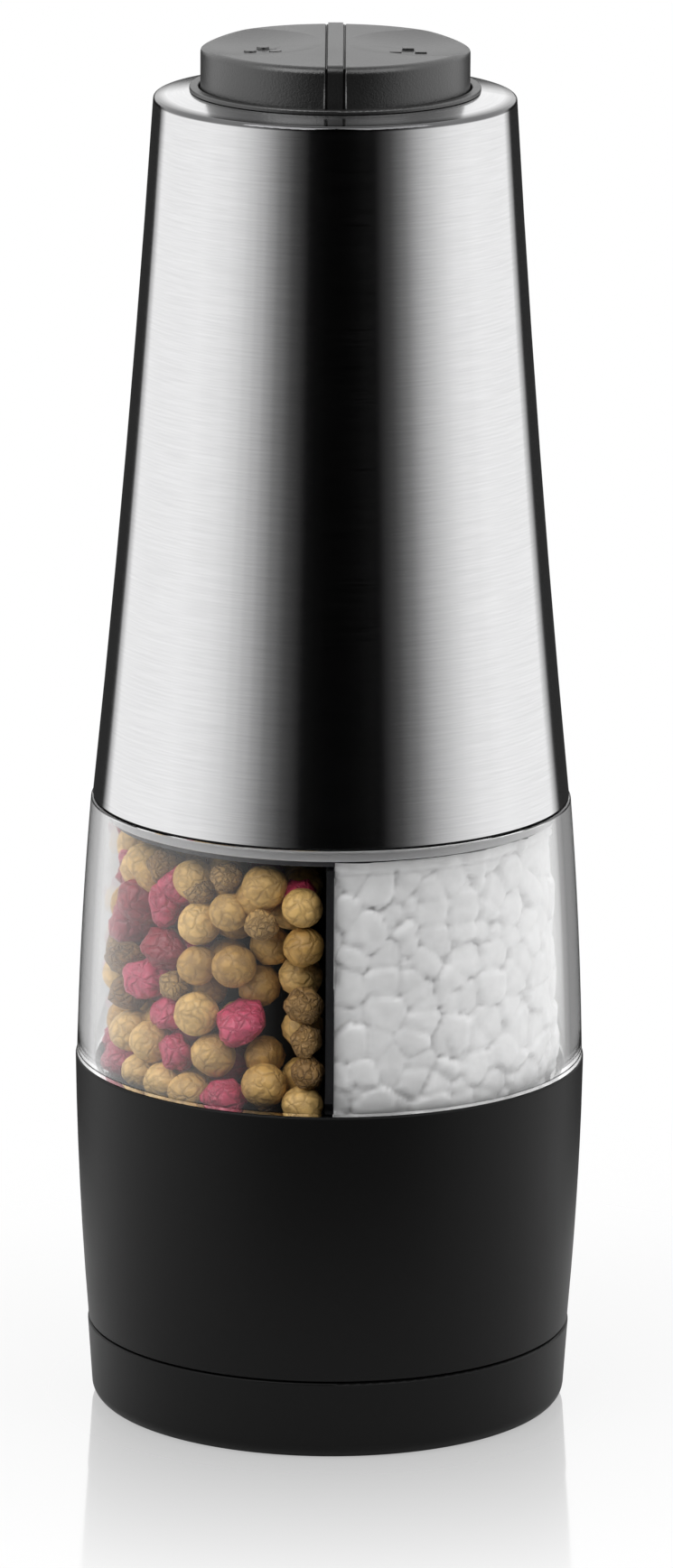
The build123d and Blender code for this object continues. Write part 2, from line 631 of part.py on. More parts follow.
# Gears of each side: motor pinion, idler with its small pinion, output gear with hexagonal socket
for side, turn in SIDES:
    half_turn = 0 if turn == 1 else math.pi
    out_spot = Vector(turn * SPINDLE_X, 0, 0)
    idler_spot = Vector(turn * IDLER_X, turn * IDLER_Y, 0)
    motor_spot = Vector(turn * MOTOR_X, turn * MOTOR_Y, 0)
    to_idler = half_turn + math.radians(IDLER_BEARING)
    to_motor = half_turn + math.atan2(MOTOR_Y - IDLER_Y, MOTOR_X - IDLER_X)
    step = math.pi / WHEEL_TEETH

    with BuildPart() as output_gear:
        with BuildSketch(Plane(out_spot + Vector(0, 0, Z_LOW))):
            with BuildLine():
                Polyline(*gear_points(WHEEL_TEETH, -TOOTH_SHIFT, to_idler + step), close=True)
            make_face()
        extrude(amount=GEAR_FACE)
        with BuildSketch(Plane(out_spot + Vector(0, 0, Z_TONGUE + 2 * TOUCH))):
            Circle(OUTPUT_HUB_R)
        extrude(amount=Z_LOW - Z_TONGUE - 2 * TOUCH)
        with BuildSketch(Plane(out_spot + Vector(0, 0, Z_TONGUE), x_dir=(turn, 0, 0))):
            RegularPolygon(HEX_R + SLIDE, 6, major_radius=False)
        extrude(amount=Z_LOW + GEAR_FACE - 1.0 - Z_TONGUE, mode=Mode.SUBTRACT)
    save(output_gear, f"{side}_output_gear")

    with BuildPart() as idler_gear:
        with BuildSketch(Plane(idler_spot + Vector(0, 0, Z_LOW))):
            with BuildLine():
                Polyline(*gear_points(PINION_TEETH, TOOTH_SHIFT, to_idler + math.pi), close=True)
            make_face()
        extrude(amount=GEAR_FACE + AIR)
        with BuildSketch(Plane(idler_spot + Vector(0, 0, Z_HIGH))):
            with BuildLine():
                Polyline(*gear_points(WHEEL_TEETH, -TOOTH_SHIFT, to_motor + step), close=True)
            make_face()
        extrude(amount=GEAR_FACE)
        with BuildSketch(Plane(idler_spot + Vector(0, 0, Z_LOW))):
            Circle(AXLE_R + RUN)
        extrude(amount=Z_PLATE - Z_LOW, mode=Mode.SUBTRACT)
    save(idler_gear, f"{side}_idler_gear")

    with BuildPart() as motor_pinion:
        with BuildSketch(Plane(motor_spot + Vector(0, 0, Z_HIGH))):
            with BuildLine():
                Polyline(*gear_points(PINION_TEETH, TOOTH_SHIFT, to_motor + math.pi), close=True)
            make_face()
        extrude(amount=GEAR_FACE)
        with BuildSketch(Plane(motor_spot + Vector(0, 0, Z_HIGH + GEAR_FACE))):
            Circle(MOTOR_SHAFT_R)
        extrude(amount=Z_MOTOR + 6.0 - Z_HIGH - GEAR_FACE)
    save(motor_pinion, f"{side}_motor_pinion")

    # Motor: drawn can with a locating boss and a bore for its shaft
    with BuildPart() as motor:
        with BuildSketch(Plane(motor_spot + Vector(0, 0, Z_MOTOR))):
            Circle(MOTOR_R)
        extrude(amount=MOTOR_LENGTH - MOTOR_CAP - TOUCH)
        fillet(motor.edges().filter_by(GeomType.CIRCLE), 0.8)
        with BuildSketch(Plane(motor_spot + Vector(0, 0, Z_MOTOR + 1.0))):
            Circle(MOTOR_BOSS_R)
        extrude(amount=-2.4)
        with BuildSketch(Plane(motor_spot + Vector(0, 0, Z_MOTOR - 1.4))):
            Circle(MOTOR_SHAFT_R + RUN)
        extrude(amount=8.0, mode=Mode.SUBTRACT)
    save(motor, f"{side}_motor")

# Axles of the idler gears
with BuildPart() as gear_axles:
    with Locations((IDLER_X, IDLER_Y, Z_GEARS - 1.4), (-IDLER_X, -IDLER_Y, Z_GEARS - 1.4)):
        Cylinder(AXLE_R, Z_PLATE - Z_GEARS + 2.8, align=UP)
save(gear_axles, "gear_axles")

# Motor plate: lid of the gear case
with BuildPart() as motor_plate:
    with BuildSketch(Plane.XY.offset(Z_PLATE + TOUCH)):
        Circle(R_CASE)
        with Locations((MOTOR_X, MOTOR_Y), (-MOTOR_X, -MOTOR_Y)):
            Circle(MOTOR_BOSS_R + FIT, mode=Mode.SUBTRACT)
        for angle in BOLT_ANGLES:
            spot = Vector(BOLT_RING_R, 0, 0).rotate(Axis.Z, angle)
            with Locations((spot.X, spot.Y)):
                Circle(BOLT_R + SLIDE, mode=Mode.SUBTRACT)
    extrude(amount=PLATE_THICKNESS - 2 * TOUCH)
    with Locations((IDLER_X, IDLER_Y, Z_PLATE + TOUCH), (-IDLER_X, -IDLER_Y, Z_PLATE + TOUCH)):
        Cylinder(AXLE_R + 0.02, 1.5, align=UP, mode=Mode.SUBTRACT)
save(motor_plate, "motor_plate")

# Motor cage: foot ring, a tube round each motor and the plate the battery holder stands on
with BuildPart() as motor_cage:
    with BuildSketch(Plane.XY.offset(Z_MOTOR)):
        Circle(R_CASE - 0.8)
    extrude(amount=CAGE_PLATE)
    with BuildSketch(Plane.XY.offset(Z_MOTOR)):
        with Locations((MOTOR_X, MOTOR_Y), (-MOTOR_X, -MOTOR_Y)):
            Circle(TUBE_R)
    extrude(amount=Z_DISC - Z_MOTOR - TOUCH)
    with BuildSketch(Plane.XY.offset(Z_DISC - CAGE_PLATE)):
        Circle(CAGE_R)
    extrude(amount=CAGE_PLATE - TOUCH)
    with BuildSketch(Plane.XY.offset(Z_MOTOR)):
        with Locations((MOTOR_X, MOTOR_Y), (-MOTOR_X, -MOTOR_Y)):
            Circle(CAGE_BORE_R)
        Rectangle(2 * MOTOR_X, 2 * CORE_BORE_R)
    extrude(amount=MOTOR_LENGTH + WIRE_SPACE, mode=Mode.SUBTRACT)
    with BuildSketch(Plane.XY.offset(Z_MOTOR)):
        Circle(CORE_BORE_R)
        for angle in BOLT_ANGLES:
            spot = Vector(BOLT_RING_R, 0, 0).rotate(Axis.Z, angle)
            with Locations((spot.X, spot.Y)):
                Circle(BOLT_R + SLIDE, mode=Mode.ADD)
        with Locations((0, CELL_RING_R), (0, -CELL_RING_R)):
            Circle(2.0 + FIT)
    extrude(amount=Z_DISC - Z_MOTOR, mode=Mode.SUBTRACT)
save(motor_cage, "motor_cage")

# Case screws: through cage foot and motor plate into the case
with BuildPart() as case_screws:
    for angle in BOLT_ANGLES:
        spot = Vector(BOLT_RING_R, 0, 0).rotate(Axis.Z, angle)
        with Locations((spot.X, spot.Y, Z_MOTOR + CAGE_PLATE + TOUCH)):
            Cylinder(SCREW_HEAD_R, SCREW_HEAD_HEIGHT, align=UP)
            Cylinder(BOLT_R, CAGE_PLATE + PLATE_THICKNESS + BOLT_GRIP, align=DOWN)
save(case_screws, "case_screws")

# Motor end caps and terminals
with BuildPart() as motor_end_caps:
    with Locations((MOTOR_X, MOTOR_Y, Z_WIRES), (-MOTOR_X, -MOTOR_Y, Z_WIRES)):
        Cylinder(MOTOR_R - 0.9, MOTOR_CAP, align=DOWN)
save(motor_end_caps, "motor_end_caps")

with BuildPart() as motor_terminals:
    for side, turn in SIDES:
        with Locations((turn * LEAD_X, LEAD_Y, Z_WIRES), (turn * LEAD_X, -LEAD_Y, Z_WIRES)):
            Box(2.4, 0.5, WIRE_SPACE - 0.5, align=UP)
save(motor_terminals, "motor_terminals")

# Motor leads: from each terminal to the middle and up the hollow core to the board
with BuildPart() as motor_leads:
    for side, turn in SIDES:
        for across in (LEAD_Y, -LEAD_Y):
            lift = Z_WIRES + WIRE_SPACE - 2 * WIRE_R
            begin = Vector(turn * (LEAD_X - 1.2 - TOUCH), across, lift)
            with BuildLine() as route:
                Line(begin, (turn * 3.5, across, lift))
                TangentArc((turn * 3.5, across, lift), (turn * 2.0, across, lift + 1.5), tangent=(-turn, 0, 0))
                Line((turn * 2.0, across, lift + 1.5), (turn * 2.0, across, Z_BOARD - TOUCH))
            with BuildSketch(Plane(origin=begin, z_dir=(-turn, 0, 0))):
                Circle(WIRE_R)
            sweep(path=route.line)
save(motor_leads, "motor_leads")

# Battery holder: two discs on a hollow core, with fins between the cells
with BuildPart() as battery_holder:
    with BuildSketch(Plane.XY.offset(Z_DISC)):
        Circle(DISC_R)
    extrude(amount=DISC_THICKNESS)
    with BuildSketch(Plane.XY.offset(Z_DISC_TOP)):
        Circle(DISC_R)
    extrude(amount=-DISC_THICKNESS)
    with BuildSketch(Plane.XY.offset(Z_DISC)):
        Circle(CORE_R)
    extrude(amount=Z_DISC_TOP - Z_DISC)
    with BuildSketch(Plane.XY.offset(Z_CELLS + 1.0)):
        with PolarLocations(0, CELL_COUNT, start_angle=180 / CELL_COUNT):
            Rectangle(CELL_RING_R + CELL_R, FIN_THICKNESS, align=(Align.MIN, Align.CENTER))
    extrude(amount=Z_CELL_END - Z_CELLS - 2.0)
    with BuildSketch(Plane.XY.offset(Z_DISC)):
        with Locations((0, CELL_RING_R), (0, -CELL_RING_R)):
            Circle(2.0)
    extrude(amount=-CAGE_PLATE)
    with BuildSketch(Plane.XY.offset(Z_DISC_TOP)):
        with Locations((0, BOARD_SCREW_Y), (0, -BOARD_SCREW_Y)):
            Circle(BOARD_POST_R)
    extrude(amount=BOARD_GAP - TOUCH)
    with BuildSketch(Plane.XY.offset(Z_DISC)):
        Circle(CORE_BORE_R)
    extrude(amount=Z_DISC_TOP - Z_DISC, mode=Mode.SUBTRACT)
    with Locations((0, BOARD_SCREW_Y, Z_BOARD), (0, -BOARD_SCREW_Y, Z_BOARD)):
        Cylinder(BOARD_SCREW_R + FIT, DISC_THICKNESS, align=DOWN, mode=Mode.SUBTRACT)
save(battery_holder, "battery_holder")

# Cells stand alternately up and down, each with a spring at its flat end
with BuildPart() as batteries:
    for cell in range(CELL_COUNT):
        spot = Vector(CELL_RING_R, 0, 0).rotate(Axis.Z, 360 * cell / CELL_COUNT)
        if cell % 2 == 0:
            with Locations((spot.X, spot.Y, Z_CELLS + CELL_SPRING)):
                Cylinder(CELL_R, CELL_LENGTH - 1.0, align=UP)
                Cylinder(1.9, CELL_LENGTH - TOUCH, align=UP)
        else:
            with Locations((spot.X, spot.Y, Z_CELL_END - CELL_SPRING)):
                Cylinder(CELL_R, CELL_LENGTH - 1.0, align=DOWN)
                Cylinder(1.9, CELL_LENGTH - TOUCH, align=DOWN)
save(batteries, "batteries")

# Contact plates: bridges between neighbouring cells, below and above, and two end plates above
with BuildPart() as battery_contacts:
    for cell in range(CELL_COUNT - 1):
        near = Vector(CELL_RING_R, 0, 0).rotate(Axis.Z, 360 * cell / CELL_COUNT)
        far = Vector(CELL_RING_R, 0, 0).rotate(Axis.Z, 360 * (cell + 1) / CELL_COUNT)
        middle = (near + far) * 0.5
        height = Z_CELLS - CONTACT_THICKNESS + TOUCH if cell % 2 == 0 else Z_CELL_END
        with BuildSketch(Plane(origin=(middle.X, middle.Y, height), x_dir=far - near)):
            SlotCenterToCenter((far - near).length, 6.0)
        extrude(amount=CONTACT_THICKNESS - TOUCH)
    for cell in (0, CELL_COUNT - 1):
        spot = Vector(CELL_RING_R, 0, 0).rotate(Axis.Z, 360 * cell / CELL_COUNT)
        with BuildSketch(Plane(origin=(spot.X, spot.Y, Z_CELL_END))):
            Circle(3.0)
        extrude(amount=CONTACT_THICKNESS - TOUCH)
save(battery_contacts, "battery_contacts")

spring_pitch = (CELL_SPRING - 0.1 - 0.4) / 2
print("battery spring, gap between turns", round(spring_pitch - 0.4, 2))
with BuildPart() as battery_springs:
    for cell in range(CELL_COUNT):
        spot = Vector(CELL_RING_R, 0, 0).rotate(Axis.Z, 360 * cell / CELL_COUNT)
        foot = Z_CELLS if cell % 2 == 0 else Z_CELL_END - CELL_SPRING
        start = Vector(spot.X, spot.Y, foot + 0.05 + 0.2)
        with BuildLine() as wire:
            for first, last, leave in coil_arcs(start, 2.6, spring_pitch, 2):
                TangentArc(first, last, tangent=leave)
        with BuildSketch(Plane(origin=wire.line @ 0, z_dir=wire.line % 0)):
            Circle(0.2)
        sweep(path=wire.line)
save(battery_springs, "battery_springs")

# Switch board with a switch under each button
with BuildPart() as switch_board:
    with BuildSketch(Plane.XY.offset(Z_BOARD)):
        Circle(BOARD_R)
        with Locations((0, BOARD_SCREW_Y), (0, -BOARD_SCREW_Y)):
            Circle(BOARD_SCREW_R + SLIDE, mode=Mode.SUBTRACT)
    extrude(amount=BOARD_THICKNESS)
save(switch_board, "switch_board")

with BuildPart() as board_screws:
    with Locations((0, BOARD_SCREW_Y, Z_SWITCH + TOUCH), (0, -BOARD_SCREW_Y, Z_SWITCH + TOUCH)):
        Cylinder(BOARD_SCREW_HEAD_R, BOARD_SCREW_HEAD_HEIGHT, align=UP)
        Cylinder(BOARD_SCREW_R, BOARD_THICKNESS + BOARD_SCREW_GRIP, align=DOWN)
save(board_screws, "board_screws")

with BuildPart() as switch_bodies:
    with Locations((ROD_X, 0, Z_SWITCH + TOUCH), (-ROD_X, 0, Z_SWITCH + TOUCH)):
        Box(SWITCH_WIDTH, SWITCH_WIDTH, SWITCH_HEIGHT - TOUCH, align=UP)
    with Locations((ROD_X, 0, Z_SWITCH + SWITCH_HEIGHT), (-ROD_X, 0, Z_SWITCH + SWITCH_HEIGHT)):
        Cylinder(PLUNGER_R + SLIDE, SWITCH_HEIGHT - 0.2, align=DOWN, mode=Mode.SUBTRACT)
save(switch_bodies, "switch_bodies")

# Button tray: floor under the buttons, with a rim that backs the top of the sleeve
with BuildPart() as button_tray:
    with BuildSketch(Plane.XY.offset(Z_TRAY)):
        Circle(R_TRAY)
        with Locations((ROD_X, 0), (-ROD_X, 0)):
            Circle(ROD_R + AIR, mode=Mode.SUBTRACT)
    extrude(amount=TRAY_THICKNESS)
    with BuildSketch(Plane.XY.offset(Z_WELL)):
        Circle(R_TRAY)
        Circle(R_COLLAR_WALL + FIT, mode=Mode.SUBTRACT)
    extrude(amount=Z_CROWN - SHELL_WALL - 0.5 - Z_WELL)
save(button_tray, "button_tray")

# Button collar: lip round the buttons, wall through the sleeve's hole and the bar between the buttons
with BuildPart() as button_collar:
    with BuildSketch(Plane.XZ):
        with BuildLine():
            Polyline(
                (R_LIP, Z_LIP),
                (R_COLLAR_WALL - COLLAR_WALL, Z_LIP),
                (R_COLLAR_WALL - COLLAR_WALL, Z_WELL + TOUCH),
                (R_COLLAR_WALL, Z_WELL + TOUCH),
                (R_COLLAR_WALL, Z_LIP),
                (R_COLLAR, Z_LIP),
                (R_COLLAR, Z_COLLAR_TOP),
                (R_LIP, Z_COLLAR_TOP),
                close=True,
            )
        make_face()
    revolve(axis=Axis.Z)
    fillet(button_collar.edges().group_by(Axis.Z)[-1], 0.25)
    with BuildSketch(Plane.XY.offset(Z_WELL + TOUCH)):
        Circle(R_COLLAR_WALL - COLLAR_WALL / 2)
        Rectangle(BAR_WIDTH, 3 * BUTTON_R, mode=Mode.INTERSECT)
    extrude(amount=Z_COLLAR_TOP - 0.3 - Z_WELL - TOUCH)
    with BuildSketch(Plane.XY.offset(Z_WELL + TOUCH)):
        Circle(BUTTON_R)
        Rectangle(BAR_WIDTH, 3 * BUTTON_R, mode=Mode.INTERSECT)
    extrude(amount=Z_TOP + BAR_PROUD - Z_WELL - TOUCH)
    fillet(button_collar.edges().group_by(Axis.Z)[-1].filter_by(GeomType.CIRCLE), BUTTON_EDGE)
save(button_collar, "button_collar")

# Steel sleeve: thin drawn cone with a slightly crowned top
with BuildPart() as steel_shell:
    with BuildSketch(Plane.XZ):
        with BuildLine():
            SagittaArc((R_SHELL, Z_SHELL), (R_RIM, Z_RIM), SHELL_BOW)
            Polyline(
                (R_RIM, Z_RIM),
                (R_HOLE, Z_CROWN),
                (R_HOLE, Z_CROWN - SHELL_WALL),
                (R_RIM - SHELL_WALL, Z_RIM - SHELL_WALL),
            )
            SagittaArc((R_RIM - SHELL_WALL, Z_RIM - SHELL_WALL), (R_SHELL - SHELL_WALL, Z_SHELL), -SHELL_BOW)
            Line((R_SHELL - SHELL_WALL, Z_SHELL), (R_SHELL, Z_SHELL))
        make_face()
    revolve(axis=Axis.Z)
    rim_edge = steel_shell.edges().filter_by_position(Axis.Z, Z_RIM - 0.01, Z_RIM + 0.01)
    fillet(rim_edge, RIM_EDGE)
save(steel_shell, "steel_shell")

# Buttons, springs and switch plungers
button_length = Z_TOP - BUTTON_TOP - Z_WELL
button_pitch = (button_length - 2 * TOUCH - BUTTON_SPRING_WIRE) / 4
print("button spring, gap between turns", round(button_pitch - BUTTON_SPRING_WIRE, 2))
for side, turn in SIDES:
    level = Plane(origin=(0, 0, 0), x_dir=(turn, 0, 0), z_dir=(0, 0, 1))
    dish_y = turn * DISH_Y
    with BuildPart() as button:
        with BuildSketch(level.offset(Z_SKIRT)):
            Circle(BUTTON_R)
            with Locations((FLAT_X, 0)):
                Rectangle(2 * BUTTON_R, 3 * BUTTON_R, align=(Align.MIN, Align.CENTER), mode=Mode.INTERSECT)
        extrude(amount=Z_TOP - Z_SKIRT)
        fillet(button.edges().group_by(Axis.Z)[-1].filter_by(GeomType.CIRCLE), BUTTON_EDGE)
        fillet(button.edges().group_by(Axis.Z)[-1].filter_by(GeomType.LINE), 0.3)
        with BuildSketch(level.offset(Z_SKIRT)):
            Circle(BUTTON_R - BUTTON_WALL)
            with Locations((FLAT_X + BUTTON_WALL, 0)):
                Rectangle(2 * BUTTON_R, 3 * BUTTON_R, align=(Align.MIN, Align.CENTER), mode=Mode.INTERSECT)
        extrude(amount=Z_TOP - BUTTON_TOP - Z_SKIRT, mode=Mode.SUBTRACT)
        with BuildSketch(level.offset(Z_SKIRT)):
            Circle(BUTTON_LIP_R)
            Circle(BUTTON_R - BUTTON_WALL, mode=Mode.SUBTRACT)
            with Locations((FLAT_X, 0)):
                Rectangle(2 * BUTTON_R, 3 * BUTTON_R, align=(Align.MIN, Align.CENTER), mode=Mode.INTERSECT)
        extrude(amount=BUTTON_LIP)
        with Locations((turn * ROD_X, DISH_Y, Z_TOP + DISH_R - DISH_DEPTH)):
            Sphere(DISH_R, mode=Mode.SUBTRACT)
        with BuildSketch(level.offset(Z_ROD + TOUCH)):
            with Locations((ROD_X, 0)):
                Circle(ROD_R)
        extrude(amount=Z_TOP - BUTTON_TOP + 0.5 - Z_ROD - TOUCH)
        # Raised mark in the dish: three dots on one button, three squares on the other
        with BuildSketch(level.offset(Z_TOP - BUTTON_TOP + 1.0)):
            with Locations((ROD_X, dish_y)):
                with PolarLocations(1.5, 3, start_angle=90):
                    if side == "pepper":
                        Circle(0.75)
                    else:
                        Rectangle(1.3, 1.3)
        extrude(amount=BUTTON_TOP - 1.0 - DISH_DEPTH + 0.35)
    save(button, f"{side}_button")

    start = Vector(turn * ROD_X, 0, Z_WELL + TOUCH + BUTTON_SPRING_WIRE / 2)
    with BuildPart() as button_spring:
        with BuildLine() as wire:
            for first, last, leave in coil_arcs(start, ROD_R + AIR + BUTTON_SPRING_WIRE, button_pitch, 4):
                TangentArc(first, last, tangent=leave)
        with BuildSketch(Plane(origin=wire.line @ 0, z_dir=wire.line % 0)):
            Circle(BUTTON_SPRING_WIRE / 2)
        sweep()
    save(button_spring, f"{side}_button_spring")

    with BuildPart() as switch_plunger:
        with BuildSketch(Plane(origin=(turn * ROD_X, 0, Z_ROD))):
            Circle(PLUNGER_R)
        extrude(amount=-(PLUNGER_RISE + SWITCH_HEIGHT - PRESS - 0.3))
    save(switch_plunger, f"{side}_switch_plunger")

print("height", Z_TOP + BAR_PROUD, "widest", 2 * R_BELLY)
print("spindle", SPINDLE_X, "idler", IDLER_X, IDLER_Y, "motor", MOTOR_X, MOTOR_Y)
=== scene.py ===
import bmesh
import bpy
import json
import math
import numpy as np
from mathutils import Matrix, Vector, noise


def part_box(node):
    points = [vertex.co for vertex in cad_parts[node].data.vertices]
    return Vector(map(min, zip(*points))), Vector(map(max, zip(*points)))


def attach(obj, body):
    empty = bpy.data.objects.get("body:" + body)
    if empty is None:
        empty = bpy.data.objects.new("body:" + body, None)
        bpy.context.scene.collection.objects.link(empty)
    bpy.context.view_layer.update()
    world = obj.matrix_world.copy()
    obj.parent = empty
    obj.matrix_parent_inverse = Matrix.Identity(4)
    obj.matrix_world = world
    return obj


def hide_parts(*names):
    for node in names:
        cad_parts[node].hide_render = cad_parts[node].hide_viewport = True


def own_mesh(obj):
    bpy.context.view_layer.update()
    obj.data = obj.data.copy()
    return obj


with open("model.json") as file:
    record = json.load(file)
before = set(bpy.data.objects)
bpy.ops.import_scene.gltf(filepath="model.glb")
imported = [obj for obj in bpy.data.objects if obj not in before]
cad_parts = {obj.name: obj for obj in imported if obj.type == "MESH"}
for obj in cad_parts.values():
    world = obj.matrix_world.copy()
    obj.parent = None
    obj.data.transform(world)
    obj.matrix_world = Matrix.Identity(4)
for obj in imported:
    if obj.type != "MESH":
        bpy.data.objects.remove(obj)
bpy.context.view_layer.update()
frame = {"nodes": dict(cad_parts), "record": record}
scene = bpy.context.scene
nodes = frame["nodes"]
MM = 0.001
GRAIN_DEPTH = 0.05 * MM
# Height of the sleeve's rounded rim, where a dark band of painted shade covers its highlight
SLEEVE_RIM_SHADE = 195.15 * MM
# A height far above the mill, for metal without the painted dark rim shade
NO_RIM_SHADE = 9.0


# Material helpers
def new_material(name, color=(0.8, 0.8, 0.8), metallic=0.0, roughness=0.5):
    """A material with one Principled shader; returns the material, its tree and the shader."""
    material = bpy.data.materials.new(name)
    material.use_nodes = True
    tree = material.node_tree
    shader = tree.nodes["Principled BSDF"]
    shader.inputs["Base Color"].default_value = (*color, 1)
    shader.inputs["Metallic"].default_value = metallic
    shader.inputs["Roughness"].default_value = roughness
    return material, tree, shader


def add(tree, kind, inputs=None, **props):
    """A node with its properties and unlinked input values set."""
    node = tree.nodes.new(kind)
    for key, value in props.items():
        setattr(node, key, value)
    for key, value in (inputs or {}).items():
        node.inputs[key].default_value = value
    return node


def link(tree, *pairs):
    """Links from output sockets to input sockets."""
    for out, into in pairs:
        tree.links.new(out, into)


def new_group(name, inputs, outputs):
    """A shader node group with named sockets; returns the tree and its input and output nodes."""
    tree = bpy.data.node_groups.new(name, "ShaderNodeTree")
    for label, kind, value in inputs:
        socket = tree.interface.new_socket(label, in_out="INPUT", socket_type=kind)
        if value is not None:
            socket.default_value = value
    for label, kind in outputs:
        tree.interface.new_socket(label, in_out="OUTPUT", socket_type=kind)
    return tree, tree.nodes.new("NodeGroupInput"), tree.nodes.new("NodeGroupOutput")


def use_group(tree, group, **values):
    """A group node with its input values set."""
    node = tree.nodes.new("ShaderNodeGroup")
    node.node_tree = group
    for key, value in values.items():
        node.inputs[key.replace("_", " ")].default_value = value
    return node


def math_node(tree, operation, a, b=None):
    """A Math node whose inputs are sockets or plain numbers; returns its output socket."""
    node = add(tree, "ShaderNodeMath", operation=operation)
    for index, value in enumerate((a, b)):
        if value is None:
            continue
        if isinstance(value, (int, float)):
            node.inputs[index].default_value = value
        else:
            tree.links.new(value, node.inputs[index])
    return node.outputs[0]


def map_range(tree, low, high, to_low=0.0, to_high=1.0):
    """A Map Range node that takes low to to_low and high to to_high."""
    ends = {"From Min": low, "From Max": high, "To Min": to_low, "To Max": to_high}
    return add(tree, "ShaderNodeMapRange", ends)


# Groups shared by several finishes
def make_moulded_grain():
    """Fine spark-eroded texture of moulded plastic: a height and a roughness."""
    tree, entry, leave = new_group(
        "moulded_grain",
        [
            ("Scale", "NodeSocketFloat", 1800.0),
            ("Rough Low", "NodeSocketFloat", 0.42),
            ("Rough High", "NodeSocketFloat", 0.56),
        ],
        [("Height", "NodeSocketFloat"), ("Roughness", "NodeSocketFloat")],
    )
    coords = add(tree, "ShaderNodeTexCoord")
    fine = add(tree, "ShaderNodeTexNoise", {"Detail": 2.0, "Roughness": 0.6})
    broad = add(tree, "ShaderNodeTexNoise", {"Scale": 60.0, "Detail": 3.0})
    spread = add(tree, "ShaderNodeMapRange")
    link(
        tree,
        (coords.outputs["Object"], fine.inputs["Vector"]),
        (coords.outputs["Object"], broad.inputs["Vector"]),
        (entry.outputs["Scale"], fine.inputs["Scale"]),
        (fine.outputs["Fac"], leave.inputs["Height"]),
        (broad.outputs["Fac"], spread.inputs["Value"]),
        (entry.outputs["Rough Low"], spread.inputs["To Min"]),
        (entry.outputs["Rough High"], spread.inputs["To Max"]),
        (spread.outputs["Result"], leave.inputs["Roughness"]),
    )
    return tree


def make_brushed_lines():
    """Lines left by brushing a turned piece round its upright axis."""
    tree, entry, leave = new_group(
        "brushed_lines",
        [("Across", "NodeSocketFloat", 9000.0), ("Along", "NodeSocketFloat", 3.0)],
        [("Fine", "NodeSocketFloat"), ("Broad", "NodeSocketFloat")],
    )
    coords = add(tree, "ShaderNodeTexCoord")
    split = add(tree, "ShaderNodeSeparateXYZ")
    link(tree, (coords.outputs["Object"], split.inputs[0]))
    angle = math_node(tree, "ARCTAN2", split.outputs["Y"], split.outputs["X"])
    x_square = math_node(tree, "MULTIPLY", split.outputs["X"], split.outputs["X"])
    y_square = math_node(tree, "MULTIPLY", split.outputs["Y"], split.outputs["Y"])
    radius = math_node(tree, "SQRT", math_node(tree, "ADD", x_square, y_square))
    run = math_node(tree, "SUBTRACT", split.outputs["Z"], radius)
    across = math_node(tree, "MULTIPLY", run, entry.outputs["Across"])
    along = math_node(tree, "MULTIPLY", angle, entry.outputs["Along"])
    for label, share, detail in (("Fine", 1.0, 2.0), ("Broad", 0.28, 4.0)):
        place = add(tree, "ShaderNodeCombineXYZ")
        link(tree, (along, place.inputs["X"]))
        link(tree, (math_node(tree, "MULTIPLY", across, share), place.inputs["Z"]))
        cloud = add(tree, "ShaderNodeTexNoise", {"Scale": 1.0, "Detail": detail, "Roughness": 0.65})
        link(tree, (place.outputs[0], cloud.inputs["Vector"]), (cloud.outputs["Fac"], leave.inputs[label]))
    return tree


MOULDED_GRAIN = make_moulded_grain()
BRUSHED_LINES = make_brushed_lines()


# Finishes
def moulded_plastic(name, color, scale, low, high, strength, sheen=0.5):
    """Moulded plastic with fine grain and a roughness between low and high."""
    material, tree, shader = new_material(name, color)
    shader.inputs["Specular IOR Level"].default_value = sheen
    grain = use_group(tree, MOULDED_GRAIN, Scale=scale, Rough_Low=low, Rough_High=high)
    bump = add(tree, "ShaderNodeBump", {"Strength": strength, "Distance": GRAIN_DEPTH})
    link(
        tree,
        (grain.outputs["Height"], bump.inputs["Height"]),
        (grain.outputs["Roughness"], shader.inputs["Roughness"]),
        (bump.outputs["Normal"], shader.inputs["Normal"]),
    )
    return material


